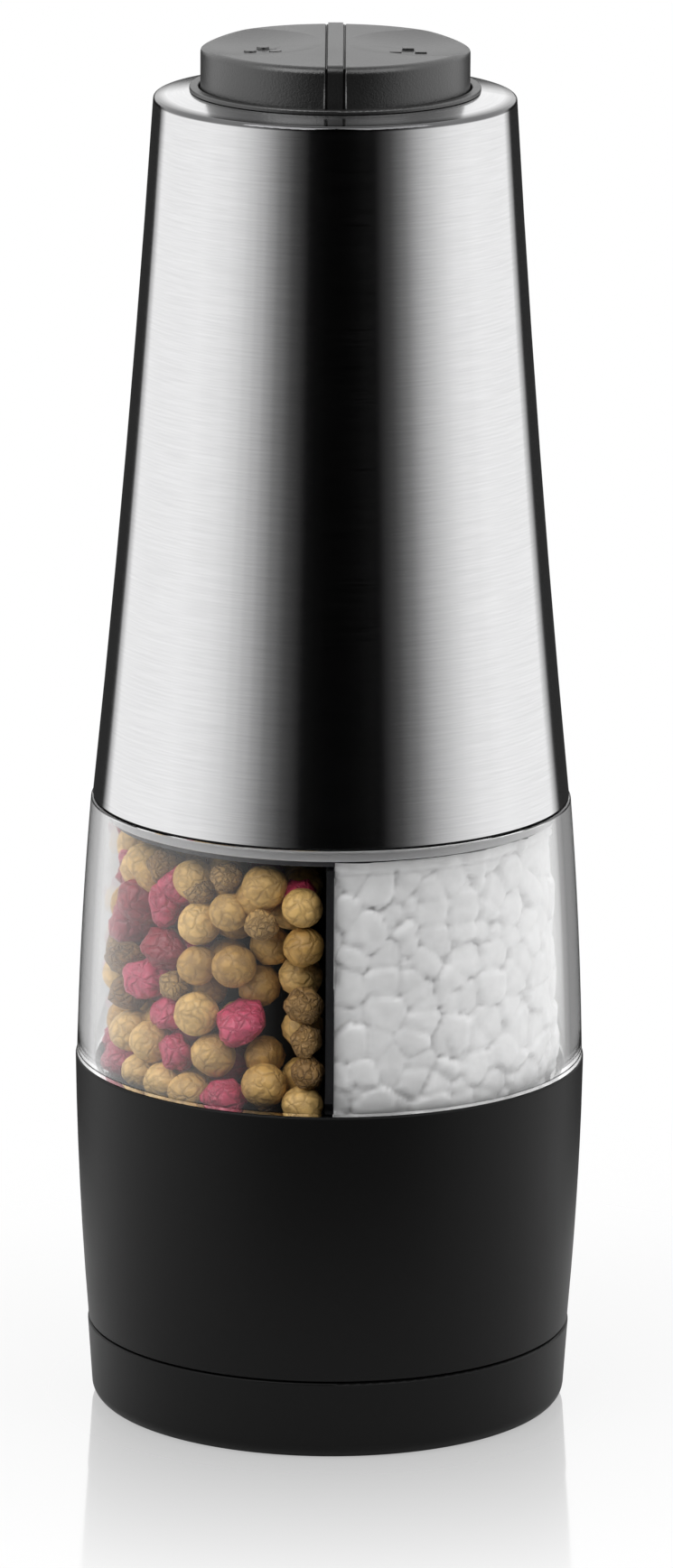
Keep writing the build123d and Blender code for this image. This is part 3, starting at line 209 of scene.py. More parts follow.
def brushed_metal(name, greys, rough, lines_per_metre, anisotropy, rim_shade_height=NO_RIM_SHADE):
    """Metal brushed round the upright axis, with a dark band of painted shade at one height that hides the
    highlight of a rounded edge.
    """
    dark, light = [(grey, grey, grey * 1.008) for grey in greys]
    low, high = rough
    across, along = lines_per_metre
    material, tree, shader = new_material(name, light, 1.0, 0.3)
    lines = use_group(tree, BRUSHED_LINES, Across=across, Along=along)
    tint = add(tree, "ShaderNodeMixRGB", {"Color1": (*dark, 1), "Color2": (*light, 1)})
    spread = map_range(tree, 0.3, 0.7, low, high)
    bump = add(tree, "ShaderNodeBump", {"Strength": 0.06, "Distance": 0.00004})
    shader.inputs["Anisotropic"].default_value = anisotropy
    shader.inputs["Anisotropic Rotation"].default_value = 0.25
    tangent = add(tree, "ShaderNodeTangent", direction_type="RADIAL", axis="Z")
    coords = add(tree, "ShaderNodeTexCoord")
    split = add(tree, "ShaderNodeSeparateXYZ")
    # A dark band of painted shade round the rim height, over the highlight of the rounded edge
    rim_shade_mask = map_range(tree, 0.3 * MM, 0.5 * MM, 0.85, 0.0)
    painted_rim_shade = add(tree, "ShaderNodeMixRGB", {"Color2": (0.05, 0.05, 0.052, 1)})
    from_rim_shade = math_node(tree, "ABSOLUTE", math_node(tree, "SUBTRACT", split.outputs["Z"], rim_shade_height))
    link(
        tree,
        (lines.outputs["Broad"], tint.inputs["Fac"]),
        (from_rim_shade, rim_shade_mask.inputs["Value"]),
        (rim_shade_mask.outputs["Result"], painted_rim_shade.inputs["Fac"]),
        (tint.outputs["Color"], painted_rim_shade.inputs["Color1"]),
        (painted_rim_shade.outputs["Color"], shader.inputs["Base Color"]),
        (lines.outputs["Fine"], spread.inputs["Value"]),
        (coords.outputs["Object"], split.inputs[0]),
        (spread.outputs["Result"], shader.inputs["Roughness"]),
        (lines.outputs["Fine"], bump.inputs["Height"]),
        (bump.outputs["Normal"], shader.inputs["Normal"]),
        (tangent.outputs[0], shader.inputs["Tangent"]),
    )
    return material


def clear_acrylic():
    """Clear plastic that lets shadow and diffuse rays through to the filling."""
    material, tree, shader = new_material("clear_acrylic", (1, 1, 1), 0.0, 0.03)
    shader.inputs["Transmission Weight"].default_value = 1.0
    shader.inputs["IOR"].default_value = 1.49
    through = add(tree, "ShaderNodeBsdfTransparent")
    path = add(tree, "ShaderNodeLightPath")
    mix = add(tree, "ShaderNodeMixShader")
    pass_light = math_node(tree, "MAXIMUM", path.outputs["Is Shadow Ray"], path.outputs["Is Diffuse Ray"])
    link(
        tree,
        (pass_light, mix.inputs[0]),
        (shader.outputs[0], mix.inputs[1]),
        (through.outputs[0], mix.inputs[2]),
        (mix.outputs[0], tree.nodes["Material Output"].inputs["Surface"]),
    )
    return material


def clear_silicone():
    """Milky silicone of the seal, with a slightly clouded surface."""
    material = moulded_plastic("seal_silicone", (0.82, 0.82, 0.825), 700.0, 0.25, 0.4, 0.05)
    material.node_tree.nodes["Principled BSDF"].inputs["Transmission Weight"].default_value = 0.5
    return material


def plain_finish(name, color, metallic, roughness, scale=900.0, strength=0.1):
    """Small inner pieces: colour with slight grain and cloudy roughness."""
    material = moulded_plastic(name, color, scale, roughness - 0.06, roughness + 0.06, strength)
    material.node_tree.nodes["Principled BSDF"].inputs["Metallic"].default_value = metallic
    return material


def battery_sleeve():
    """Plain printed sleeve with a pale ring near each end and bare nickel at the ends."""
    low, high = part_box("batteries")
    blue, pale, nickel = (0.02, 0.07, 0.2), (0.55, 0.56, 0.58), (0.70, 0.68, 0.62)
    material, tree, shader = new_material("battery_sleeve", blue, 0.0, 0.3)
    coords = add(tree, "ShaderNodeTexCoord")
    split = add(tree, "ShaderNodeSeparateXYZ")
    grain = use_group(tree, MOULDED_GRAIN, Scale=700.0, Rough_Low=0.22, Rough_High=0.34)
    bump = add(tree, "ShaderNodeBump", {"Strength": 0.06, "Distance": GRAIN_DEPTH})
    ring = add(tree, "ShaderNodeMixRGB", {"Color1": (*blue, 1), "Color2": (*pale, 1)})
    ends = add(tree, "ShaderNodeMixRGB", {"Color2": (*nickel, 1)})
    link(tree, (coords.outputs["Object"], split.inputs[0]))
    middle = (low[2] + high[2]) / 2
    from_middle = math_node(tree, "ABSOLUTE", math_node(tree, "SUBTRACT", split.outputs["Z"], middle))
    share = math_node(tree, "DIVIDE", from_middle, high[2] - middle)
    in_ring = math_node(tree, "COMPARE", share, 0.76)
    in_ring.node.inputs[2].default_value = 0.025
    bare = math_node(tree, "GREATER_THAN", share, 0.945)
    link(
        tree,
        (in_ring, ring.inputs["Fac"]),
        (ring.outputs["Color"], ends.inputs["Color1"]),
        (bare, ends.inputs["Fac"]),
        (ends.outputs["Color"], shader.inputs["Base Color"]),
        (bare, shader.inputs["Metallic"]),
        (grain.outputs["Roughness"], shader.inputs["Roughness"]),
        (grain.outputs["Height"], bump.inputs["Height"]),
        (bump.outputs["Normal"], shader.inputs["Normal"]),
    )
    return material


finishes = {
    "steel": brushed_metal("sleeve_steel", (0.55, 0.76), (0.09, 0.15), (10000.0, 3.0), 0.85, SLEEVE_RIM_SHADE),
    "black_plastic": moulded_plastic("black_base_plastic", (0.0015,) * 3, 2600.0, 0.40, 0.47, 0.12, 0.15),
    "button_plastic": moulded_plastic("button_plastic", (0.005,) * 3, 3000.0, 0.29, 0.38, 0.9, 1.0),
    "clear": clear_acrylic(),
    "divider": moulded_plastic("divider_plastic", (0.012, 0.012, 0.013), 1500.0, 0.25, 0.32, 0.05),
    "seal": clear_silicone(),
    "ceramic": plain_finish("burr_ceramic", (0.80, 0.77, 0.71), 0.0, 0.55, 2200.0, 0.3),
    "shaft": brushed_metal("turned_shaft_steel", (0.45, 0.62), (0.2, 0.34), (6000.0, 1.0), 0.4),
    "grey_plastic": moulded_plastic("inner_frame_plastic", (0.045, 0.045, 0.048), 1600.0, 0.45, 0.6, 0.2),
    "nylon": plain_finish("gear_nylon", (0.82, 0.80, 0.72), 0.0, 0.42, 1200.0, 0.1),
    "brass": plain_finish("bright_brass", (0.78, 0.57, 0.24), 1.0, 0.28, 1500.0, 0.1),
    "can": brushed_metal("plated_motor_can", (0.42, 0.66), (0.22, 0.36), (3000.0, 1.5), 0.3),
    "cell": battery_sleeve(),
    "board": plain_finish("board_lacquer", (0.015, 0.13, 0.05), 0.0, 0.3, 500.0, 0.15),
    "spring": plain_finish("spring_wire", (0.55, 0.55, 0.56), 1.0, 0.3, 3000.0, 0.1),
    "contact": plain_finish("nickel_contact", (0.70, 0.68, 0.62), 1.0, 0.25, 1500.0, 0.08),
    "lead": plain_finish("lead_insulation", (0.42, 0.02, 0.02), 0.0, 0.4, 900.0, 0.08),
    "screw": plain_finish("plated_screw", (0.48, 0.48, 0.5), 1.0, 0.32, 2200.0, 0.15),
}
for entry in frame["record"]["subparts"]:
    node = nodes[entry["node"]]
    node.data.materials.clear()
    node.data.materials.append(finishes[entry["material_slot"]])


# Meshes and objects
WELD = 0.001 * MM
HALF_EDGE = 0.65 * MM
HALF_TURN = math.radians(177.8)
SIDES = (("pepper", -1), ("salt", 1))


def mesh_data(name, mesh):
    """Mesh data from a finished bmesh, which is freed."""
    data = bpy.data.meshes.new(name)
    mesh.to_mesh(data)
    mesh.free()
    return data


def new_object(name, data):
    """An object at the origin for a mesh, a lamp or a camera."""
    item = bpy.data.objects.new(name, data)
    scene.collection.objects.link(item)
    return item


def new_piece(name, mesh, material, body, smooth=True):
    """A piece from a finished bmesh, with its finish, riding on a body."""
    data = mesh_data(name, mesh)
    data.polygons.foreach_set("use_smooth", [smooth] * len(data.polygons))
    data.materials.append(material)
    piece = new_object(name, data)
    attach(piece, body)
    return piece


def copy_of(node):
    """A welded bmesh copy of a CAD node."""
    mesh = bmesh.new()
    mesh.from_mesh(nodes[node].data)
    bmesh.ops.remove_doubles(mesh, verts=mesh.verts, dist=WELD)
    return mesh


def spin_full(profile, steps, closed=False):
    """A full turn of a profile of radii and heights, whose ends meet where it is closed."""
    mesh = bmesh.new()
    verts = [mesh.verts.new((radius, 0, height)) for radius, height in profile]
    following = verts[1:] + verts[:1] if closed else verts[1:]
    edges = [mesh.edges.new(pair) for pair in zip(verts, following)]
    bmesh.ops.spin(mesh, geom=verts + edges, axis=(0, 0, 1), angle=math.tau, steps=steps, use_merge=True)
    bmesh.ops.remove_doubles(mesh, verts=mesh.verts, dist=WELD)
    bmesh.ops.recalc_face_normals(mesh, faces=mesh.faces)
    return mesh


def spin_half(profile, side, steps):
    """A half turn of a profile of radii and heights in millimetres, between the faces of the divider."""
    mesh = bmesh.new()
    verts = [mesh.verts.new((side * HALF_EDGE, -radius * MM, height * MM)) for radius, height in profile]
    edges = [mesh.edges.new(pair) for pair in zip(verts, verts[1:])]
    turn = side * HALF_TURN
    bmesh.ops.spin(mesh, geom=verts + edges, cent=(0, 0, 0), axis=(0, 0, 1), angle=turn, steps=steps)
    bmesh.ops.recalc_face_normals(mesh, faces=mesh.faces)
    if sum(face.normal.dot(face.calc_center_median()) for face in mesh.faces) < 0:
        bmesh.ops.reverse_faces(mesh, faces=mesh.faces)
    return mesh


def even_shading(piece, angle):
    """Edges sharper than angle stay crisp, and the large faces set the shading along the rounded ones."""
    piece.data.polygons.foreach_set("use_smooth", [True] * len(piece.data.polygons))
    piece.data.set_sharp_from_angle(angle=math.radians(angle))
    piece.modifiers.new("even_shading", "WEIGHTED_NORMAL").keep_sharp = True


# Filling of the two chambers: places in metres
JAR_FOOT = 49.6 * MM
FILL_TOP = 87.6 * MM
DIVIDER_FACE = 0.75 * MM
SPINDLE_X = 17.0 * MM
SPINDLE_CLEAR = 3.4 * MM
START_R = 0.03
WALL_GAP = 0.00025
TOP_START_R = 0.029
TOP_R = 0.0315
TOP_SINK = (0.001, 0.003)
ROUNDS = 120
PUSH = 0.4


def jar_radius(height):
    """Inner radius of the container at each height."""
    levels = np.array([48.6, 52.5, 54.0, 73.0, 91.5]) * MM
    radii = np.array([33.1, 34.7, 34.8, 34.1, 32.7]) * MM
    return np.interp(height, levels, radii)


def push_apart(spots, reach):
    """Moves grains that are nearer than their reach away from each other, in place."""
    same = np.eye(len(spots))
    gap = spots[:, None, :] - spots[None, :, :]
    apart = np.sqrt((gap ** 2).sum(2)) + same
    press = np.clip(reach - apart, 0, None) * (1 - same)
    spots += (gap / apart[..., None] * press[..., None]).sum(1) * PUSH


def settle(radii, side, bearings, heights, touch, depth):
    """Places for grains against the wall of one chamber, or depth behind it, pushed apart side by side."""
    reach = (radii[:, None] + radii[None, :]) * touch
    spots = np.column_stack([side * np.cos(bearings) * START_R, np.sin(bearings) * START_R, heights])
    for _ in range(ROUNDS):
        push_apart(spots, reach)
        spots[:, 2] = np.clip(spots[:, 2], JAR_FOOT + radii, FILL_TOP - radii)
        room = jar_radius(spots[:, 2]) - radii - WALL_GAP - depth
        spots[:, :2] *= (room / np.hypot(spots[:, 0], spots[:, 1]))[:, None]
        spots[:, 0] = side * np.maximum(side * spots[:, 0], DIVIDER_FACE + radii)
    return spots


def spread_on_top(radii, side, chance, touch):
    """Places for the grains that lie on top of the filling of one chamber, clear of its spindle."""
    reach = (radii[:, None] + radii[None, :]) * touch
    bearings = chance.uniform(-1.5, 1.5, len(radii))
    out = np.sqrt(chance.uniform(0, 1, len(radii))) * TOP_START_R
    spots = np.column_stack([side * np.cos(bearings) * out, np.sin(bearings) * out])
    for _ in range(ROUNDS):
        push_apart(spots, reach)
        room = TOP_R - radii
        spots *= np.minimum(1, room / np.hypot(spots[:, 0], spots[:, 1]))[:, None]
        spots[:, 0] = side * np.maximum(side * spots[:, 0], DIVIDER_FACE + radii)
        axis = spots - np.array([side * SPINDLE_X, 0])
        near = np.maximum(np.hypot(axis[:, 0], axis[:, 1]), 1e-6)
        spots += axis / near[:, None] * np.maximum(0, SPINDLE_CLEAR + radii - near)[:, None]
    return np.column_stack([spots, FILL_TOP - radii - chance.uniform(*TOP_SINK, len(radii))])


def ball_mesh(name, subdivisions):
    """A ball of radius 1 that each grain is shaped from."""
    mesh = bmesh.new()
    bmesh.ops.create_icosphere(mesh, subdivisions=subdivisions, radius=1.0)
    return mesh_data(name, mesh)


BALLS = {False: ball_mesh("plain_ball", 2), True: ball_mesh("fine_ball", 3)}
CUT_AT = 0.74


def add_grain(mesh, layer, place, radius, shape, lumps, tint, chance, fine, cuts=0):
    """One corn or crystal: a ball stretched by shape, with seeded lumps, flat cuts and its own tint."""
    turn = Matrix.Rotation(chance.uniform(0, 6.28), 3, Vector(chance.normal(size=3)).normalized())
    start = len(mesh.verts)
    mesh.from_mesh(BALLS[fine])
    mesh.verts.ensure_lookup_table()
    offset = Vector(chance.uniform(-50, 50, 3))
    sides = [Vector(chance.normal(size=3)).normalized() for _ in range(cuts)]
    for vert in mesh.verts[start:]:
        for side in sides:
            vert.co -= side * max(0, vert.co.dot(side) - CUT_AT)
        broad, small = noise.noise(vert.co * 1.5 + offset), noise.noise(vert.co * 3.4 + offset)
        swell = 1 + lumps * (broad + 0.5 * small)
        vert.co = turn @ Vector([c * k for c, k in zip(vert.co, shape)]) * (radius * swell) + Vector(place)
        vert[layer] = (*tint, 1)


def mixed_tint(chance, dark, light):
    """A colour between dark and light."""
    share = chance.uniform(0, 1)
    return [a + (b - a) * share for a, b in zip(dark, light)]


# Peppercorns: name, share, radii in millimetres, lumps, and the darkest and lightest tint
PEPPER_MIX = (
    ("white_peppercorns", 0.54, (2.95, 3.4), 0.05, ((0.50, 0.28, 0.065), (0.86, 0.57, 0.21))),
    ("wrinkled_peppercorns", 0.11, (2.2, 2.8), 0.22, ((0.26, 0.135, 0.038), (0.50, 0.31, 0.11))),
    ("pink_berries", 0.35, (3.0, 3.9), 0.26, ((0.28, 0.004, 0.018), (0.68, 0.08, 0.17))),
)
PINK = 2
# Count of corns and their depth behind the wall; those without a depth lie on top
PEPPER_LAYERS = ((82, 0.0), (70, 0.0042), (44, None))
# Profile and thickness of a near-black sheet behind the corns, painted shade for the deep gaps between them
SHADE_SHEET_PROFILE = ((32.6, 49.3), (22.5, 49.5), (22.5, 83.0))
SHADE_SHEET_THICK = 0.3 * MM


def corn_skin(name, wrinkle, blotch_and_crease_shade_color, rough, bump_depth):
    """Dried skin: the corn's own tint with darker blotches, and darker net-like wrinkles that are partly
    the skin's colour and partly painted shade in the creases.
    """
    material, tree, shader = new_material(name, (0.5, 0.35, 0.15), 0.0, rough)
    coords = add(tree, "ShaderNodeTexCoord")
    tint = add(tree, "ShaderNodeAttribute", attribute_name="tint")
    warp = add(tree, "ShaderNodeTexNoise", {"Scale": 420.0, "Detail": 3.0})
    bend = add(tree, "ShaderNodeMixRGB", {"Fac": 0.0025}, blend_type="ADD")
    net = add(tree, "ShaderNodeTexVoronoi", {"Scale": wrinkle}, feature="DISTANCE_TO_EDGE")
    folds = map_range(tree, 0.0, 0.22)
    blotch = add(tree, "ShaderNodeTexNoise", {"Scale": 300.0, "Detail": 4.0, "Roughness": 0.7})
    patch = map_range(tree, 0.40, 0.68, 1.0, 0.55)
    shade = add(tree, "ShaderNodeMixRGB", {"Color1": (*blotch_and_crease_shade_color, 1)})
    bump = add(tree, "ShaderNodeBump", {"Strength": 0.7, "Distance": bump_depth})
    # Darker towards the folds: painted shade in the creases, partly the skin's darker colour there
    smooth = math_node(tree, "ADD", math_node(tree, "MULTIPLY", folds.outputs["Result"], 0.3), 0.7)
    link(
        tree,
        (coords.outputs["Object"], warp.inputs["Vector"]),
        (coords.outputs["Object"], bend.inputs["Color1"]),
        (warp.outputs["Color"], bend.inputs["Color2"]),
        (bend.outputs["Color"], net.inputs["Vector"]),
        (coords.outputs["Object"], blotch.inputs["Vector"]),
        (net.outputs["Distance"], folds.inputs["Value"]),
        (blotch.outputs["Fac"], patch.inputs["Value"]),
        (math_node(tree, "MULTIPLY", smooth, patch.outputs["Result"]), shade.inputs["Fac"]),
        (tint.outputs["Color"], shade.inputs["Color2"]),
        (shade.outputs["Color"], shader.inputs["Base Color"]),
        (folds.outputs["Result"], bump.inputs["Height"]),
        (bump.outputs["Normal"], shader.inputs["Normal"]),
    )
    return material


def make_pepper():
    """Corns and berries in three layers, with a near-black sheet of painted shade behind them that darkens
    the gaps.
    """
    chance = np.random.default_rng(31)
    skins = (
        corn_skin("white_pepper_skin", 560.0, (0.11, 0.05, 0.012), 0.5, 0.00017),
        corn_skin("wrinkled_pepper_skin", 900.0, (0.05, 0.022, 0.008), 0.6, 0.0005),
        corn_skin("pink_berry_skin", 520.0, (0.09, 0.004, 0.01), 0.38, 0.0003),
    )
    meshes = [bmesh.new() for _ in PEPPER_MIX]
    layers = [mesh.verts.layers.float_color.new("tint") for mesh in meshes]
    for count, depth in PEPPER_LAYERS:
        kinds = chance.choice(len(PEPPER_MIX), count, p=[mix[1] for mix in PEPPER_MIX])
        radii = np.array([chance.uniform(*PEPPER_MIX[kind][2]) for kind in kinds]) * MM
        if depth is None:
            spots = spread_on_top(radii, -1, chance, 0.95)
        else:
            # The pink berries lie more towards the outer side of the chamber
            outer = chance.choice((-1, 1), count) * chance.triangular(0.05, 0.5, 1.15, count)
            bearings = np.where(kinds == PINK, outer, chance.uniform(-1.55, 1.55, count))
            heights = chance.uniform(JAR_FOOT, FILL_TOP, count)
            spots = settle(radii, -1, bearings, heights, 0.97, depth + chance.uniform(0, 1.4, count) * MM)
        for kind, spot, radius in zip(kinds, spots, radii):
            lumps, tints = PEPPER_MIX[kind][3:]
            flat = 0.66 if kind == PINK else 0.90
            shape = (1, chance.uniform(flat, 1), chance.uniform(flat, 1))
            tint = mixed_tint(chance, *tints)
            add_grain(meshes[kind], layers[kind], spot, radius, shape, lumps, tint, chance, depth == 0)
    for mix, mesh, skin in zip(PEPPER_MIX, meshes, skins):
        new_piece(mix[0], mesh, skin, "mill_body")
    # Near-black finish of the sheet, which paints the shade between the corns
    shade_sheet_finish = moulded_plastic("pepper_painted_shade_sheet", (0.006, 0.004, 0.002), 1500.0, 0.85, 0.95, 0.3, 0.0)
    mesh = spin_half(SHADE_SHEET_PROFILE, -1, 60)
    bmesh.ops.solidify(mesh, geom=mesh.faces[:], thickness=SHADE_SHEET_THICK)
    new_piece("pepper_shade_sheet", mesh, shade_sheet_finish, "mill_body")


# Salt: crystals on top, and a layer of them against the wall that lies smoother near its rim
SALT_COUNT = 165
SALT_HEIGHTS = np.linspace(49.6, 89.2, 88)
SALT_RIM = 87.5
CRYSTAL = 4.4 * MM


def salt_finish():
    """Cloudy white crystal that light soaks into."""
    material, tree, shader = new_material("salt_crystal", (0.9, 0.9, 0.905), 0.0, 0.4)
    coords = add(tree, "ShaderNodeTexCoord")
    cloud = add(tree, "ShaderNodeTexNoise", {"Scale": 500.0, "Detail": 3.0})
    tone = map_range(tree, 0.3, 0.7, 0.73, 0.81)
    bump = add(tree, "ShaderNodeBump", {"Strength": 0.35, "Distance": 0.0002})
    link(
        tree,
        (coords.outputs["Object"], cloud.inputs["Vector"]),
        (cloud.outputs["Fac"], tone.inputs["Value"]),
        (tone.outputs["Result"], shader.inputs["Base Color"]),
        (cloud.outputs["Fac"], bump.inputs["Height"]),
        (bump.outputs["Normal"], shader.inputs["Normal"]),
    )
    shader.inputs["Subsurface Weight"].default_value = 0.9
    shader.inputs["Subsurface Scale"].default_value = 0.003
    shader.inputs["Subsurface Radius"].default_value = (1, 1, 1)
    return material


def make_salt_layer(material):
    """Crystals packed against the wall: a spun sheet, broken into tilted facets with small pits."""
    profile = []
    for height in SALT_HEIGHTS:
        inset = 1.15 if height < SALT_RIM else 0.7
        profile.append((float(jar_radius(height * MM)) / MM - inset, height))
    mesh = spin_half(profile, 1, 170)
    for vert in mesh.verts:
        near, centres = noise.voronoi(vert.co / CRYSTAL)
        lean = noise.cell_vector(centres[0] * 1.37) - Vector((0.5, 0.5, 0.5))
        tilt = lean.dot(vert.co / CRYSTAL - centres[0])
        crease = max(0, 1 - (near[1] - near[0]) / 0.22)
        pit = max(0, 1 - (near[2] - near[0]) / 0.2)
        rise = 0.75 * tilt + 0.5 * lean.x - 0.22 * crease - 0.8 * pit * pit
        outward = Vector((vert.co.x, vert.co.y, 0)).normalized()
        low, high = (-1.4, 0.85) if vert.co.z < SALT_RIM * MM else (-0.25, 0.35)
        vert.co += outward * max(low, min(high, rise)) * MM
    new_piece("salt_layer", mesh, material, "mill_body")


def make_salt():
    """The layer against the wall, and loose crystals on top."""
    chance = np.random.default_rng(23)
    material = salt_finish()
    make_salt_layer(material)
    mesh = bmesh.new()
    layer = mesh.verts.layers.float_color.new("tint")
    radii = chance.uniform(2.2, 3.2, SALT_COUNT) * MM
    for spot, radius in zip(spread_on_top(radii, 1, chance, 0.8), radii):
        shape = chance.uniform(0.8, 1.15, 3)
        add_grain(mesh, layer, spot, radius, shape, 0.22, (1, 1, 1), chance, False, 9)
    new_piece("salt_crystals", mesh, material, "mill_body")


# Container, in millimetres: its foot thins towards the edge
JAR_OUT, JAR_IN = 37.3, 32.8
JAR_TAPER, JAR_BOW = 2.1, 1.2
JAR_SHOULDER, JAR_BEND, JAR_RIM = 52.55, 54.0, 91.5
RIM_EDGE = 0.4
FOOT_RING = [(34.85, 52.5), (33.2, 48.55), (35.2, 48.55), (35.2, 52.55)]


def make_barrel():
    """The clear container, with a foot that lets the filling show down to the housing."""
    outer, inner = [], []
    for t in np.linspace(0, 0.99, 14):
        radius = JAR_OUT - JAR_TAPER * t + JAR_BOW * t * (1 - t)
        outer.append((radius, JAR_SHOULDER + (JAR_RIM - JAR_SHOULDER) * t))
    for t in np.linspace(0, 1, 14):
        radius = JAR_IN + JAR_TAPER * t + JAR_BOW * t * (1 - t)
        inner.append((radius, JAR_RIM - (JAR_RIM - JAR_BEND) * t))
    lip = outer[-1][0] - RIM_EDGE
    rim = []
    for turn in np.linspace(0.3, math.pi / 2, 5):
        rim.append((lip + RIM_EDGE * math.cos(turn), JAR_RIM - RIM_EDGE + RIM_EDGE * math.sin(turn)))
    profile = [(radius * MM, height * MM) for radius, height in outer + rim + inner + FOOT_RING]
    mesh = spin_full(profile, 160, closed=True)
    barrel = new_piece("clear_barrel", mesh, finishes["clear"], "mill_body")
    even_shading(barrel, 18)
    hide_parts("container")


# Finger dishes and marks of the buttons
BUTTON_TOP = 202.8 * MM
DISH_R = 61.3 * MM
DISH_DEPTH = 1.05 * MM
DISH_X = 13.0 * MM
DISH_Y = 2.5 * MM
CUTTER_TALL = 6 * MM
MARK_X = 10.5 * MM
MARK_RING = 2.1 * MM
MARK_TURNS = (90, 210, 330)
MARK_TALL = 0.6 * MM
MARK_LIFT = 0.1 * MM
MARK_TAPER = 0.88
DOT_R, DOT_CORNERS = 1.0 * MM, 24
SQUARE_R, SQUARE_CORNERS = 1.3 * MM, 4


def dish_cutter(place):
    """A shallow lens that cuts a finger dish, with its lowest point at place."""
    bends = [math.radians(0.75 * step) for step in range(25)]
    profile = [(DISH_R * math.sin(bend), DISH_R * (1 - math.cos(bend))) for bend in bends]
    profile += [(profile[-1][0], CUTTER_TALL), (0, CUTTER_TALL)]
    mesh = spin_full(profile, 144)
    bmesh.ops.translate(mesh, verts=mesh.verts, vec=place)
    return new_object("dish_cutter", mesh_data("dish_cutter", mesh))


def carved(piece, cutter):
    """A bmesh of the piece with the cutter's shape taken out; the cutter goes."""
    cut = piece.modifiers.new("dish", "BOOLEAN")
    cut.object = cutter
    cut.solver = "EXACT"
    bpy.context.view_layer.update()
    mesh = bmesh.new()
    mesh.from_mesh(piece.evaluated_get(bpy.context.evaluated_depsgraph_get()).to_mesh())
    piece.modifiers.remove(cut)
    bpy.data.objects.remove(cutter)
    return mesh


def make_buttons():
    """The buttons with wide finger dishes that run out over the outer edge, and raised marks in them."""
    quarter = Matrix.Rotation(math.radians(45), 4, "Z")
    for side, x in SIDES:
        mesh = copy_of(f"{side}_button")
        button = new_piece(f"{side}_dished_button", mesh, finishes["button_plastic"], f"{side}_button_body")
        mesh = carved(button, dish_cutter((x * DISH_X, DISH_Y, BUTTON_TOP - DISH_DEPTH)))
        wide, corners = (DOT_R, DOT_CORNERS) if side == "pepper" else (SQUARE_R, SQUARE_CORNERS)
        for turn in MARK_TURNS:
            away = Vector((math.cos(math.radians(turn)), math.sin(math.radians(turn)), 0)) * MARK_RING
            place = Vector((x * MARK_X, 0, BUTTON_TOP - DISH_DEPTH + MARK_LIFT)) + away
            bmesh.ops.create_cone(
                mesh, cap_ends=True, segments=corners, radius1=wide, radius2=wide * MARK_TAPER,
                depth=MARK_TALL, matrix=Matrix.Translation(place) @ quarter
            )
        mesh.to_mesh(button.data)
        mesh.free()
        even_shading(button, 40)
        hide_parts(f"{side}_button")


# Dark lips of the bar between the buttons, painted shade for the slots
LIP_X = 1.223 * MM
LIP_Z = 199.1 * MM
LIP_SIZE = (0.23 * MM, 38.6 * MM, 7.0 * MM)
LIP_EDGE = 0.06 * MM


def make_slot_shade_lips():
    """Thin lips on both sides of the bar, which close the slots beside the buttons from view and in the
    darkest black plastic show as painted shade of the slots.
    """
    mesh = bmesh.new()
    for side in (-1, 1):
        place = Matrix.Translation((side * LIP_X, 0, LIP_Z)) @ Matrix.Diagonal((*LIP_SIZE, 1))
        bmesh.ops.create_cube(mesh, size=1.0, matrix=place)
    bmesh.ops.bevel(
        mesh, geom=mesh.edges[:], offset=LIP_EDGE, affect="EDGES", segments=2, profile=0.5, material=-1
    )
    # The darkest black plastic makes the lips read as the painted shade in the slots
    new_piece("bar_lips_slot_shade", mesh, finishes["black_plastic"], "sleeve", False)


def make_springs():
    """Copies of the button springs and burr springs, each riding on its body, in place of their CAD parts.
    """
    for side, x in SIDES:
        for node, body, joint, anchor, keep in (
            (f"{side}_button_spring", "sleeve", f"{side}_button_press", (x * 10.5, 0, 193.85), 0.811),
            (f"{side}_burr_spring", f"{side}_spindle", f"{side}_burr_rise", (x * 17.0, 0, 38.7), 0.917),
        ):
            coil = new_piece(node + "_coil", copy_of(node), finishes["spring"], body)
            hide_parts(node)
            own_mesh(coil)


make_pepper()
make_salt()
make_barrel()
make_buttons()
make_slot_shade_lips()
make_springs()


# Stage: a small white table in a studio that is dark in front and bright at both sides
FLOOR_R = 0.16
# Where the light sits round the mill, as shares of a half turn from the front, and how bright it is
STUDIO_LIGHT = (
    (0.0, 0.0), (0.11, 0.0), (0.164, 0.07), (0.216, 0.24), (0.268, 0.55),
    (0.33, 0.86), (0.40, 1.1), (0.5, 1.22), (1.0, 1.15),
)
STUDIO_TURN = math.radians(5)


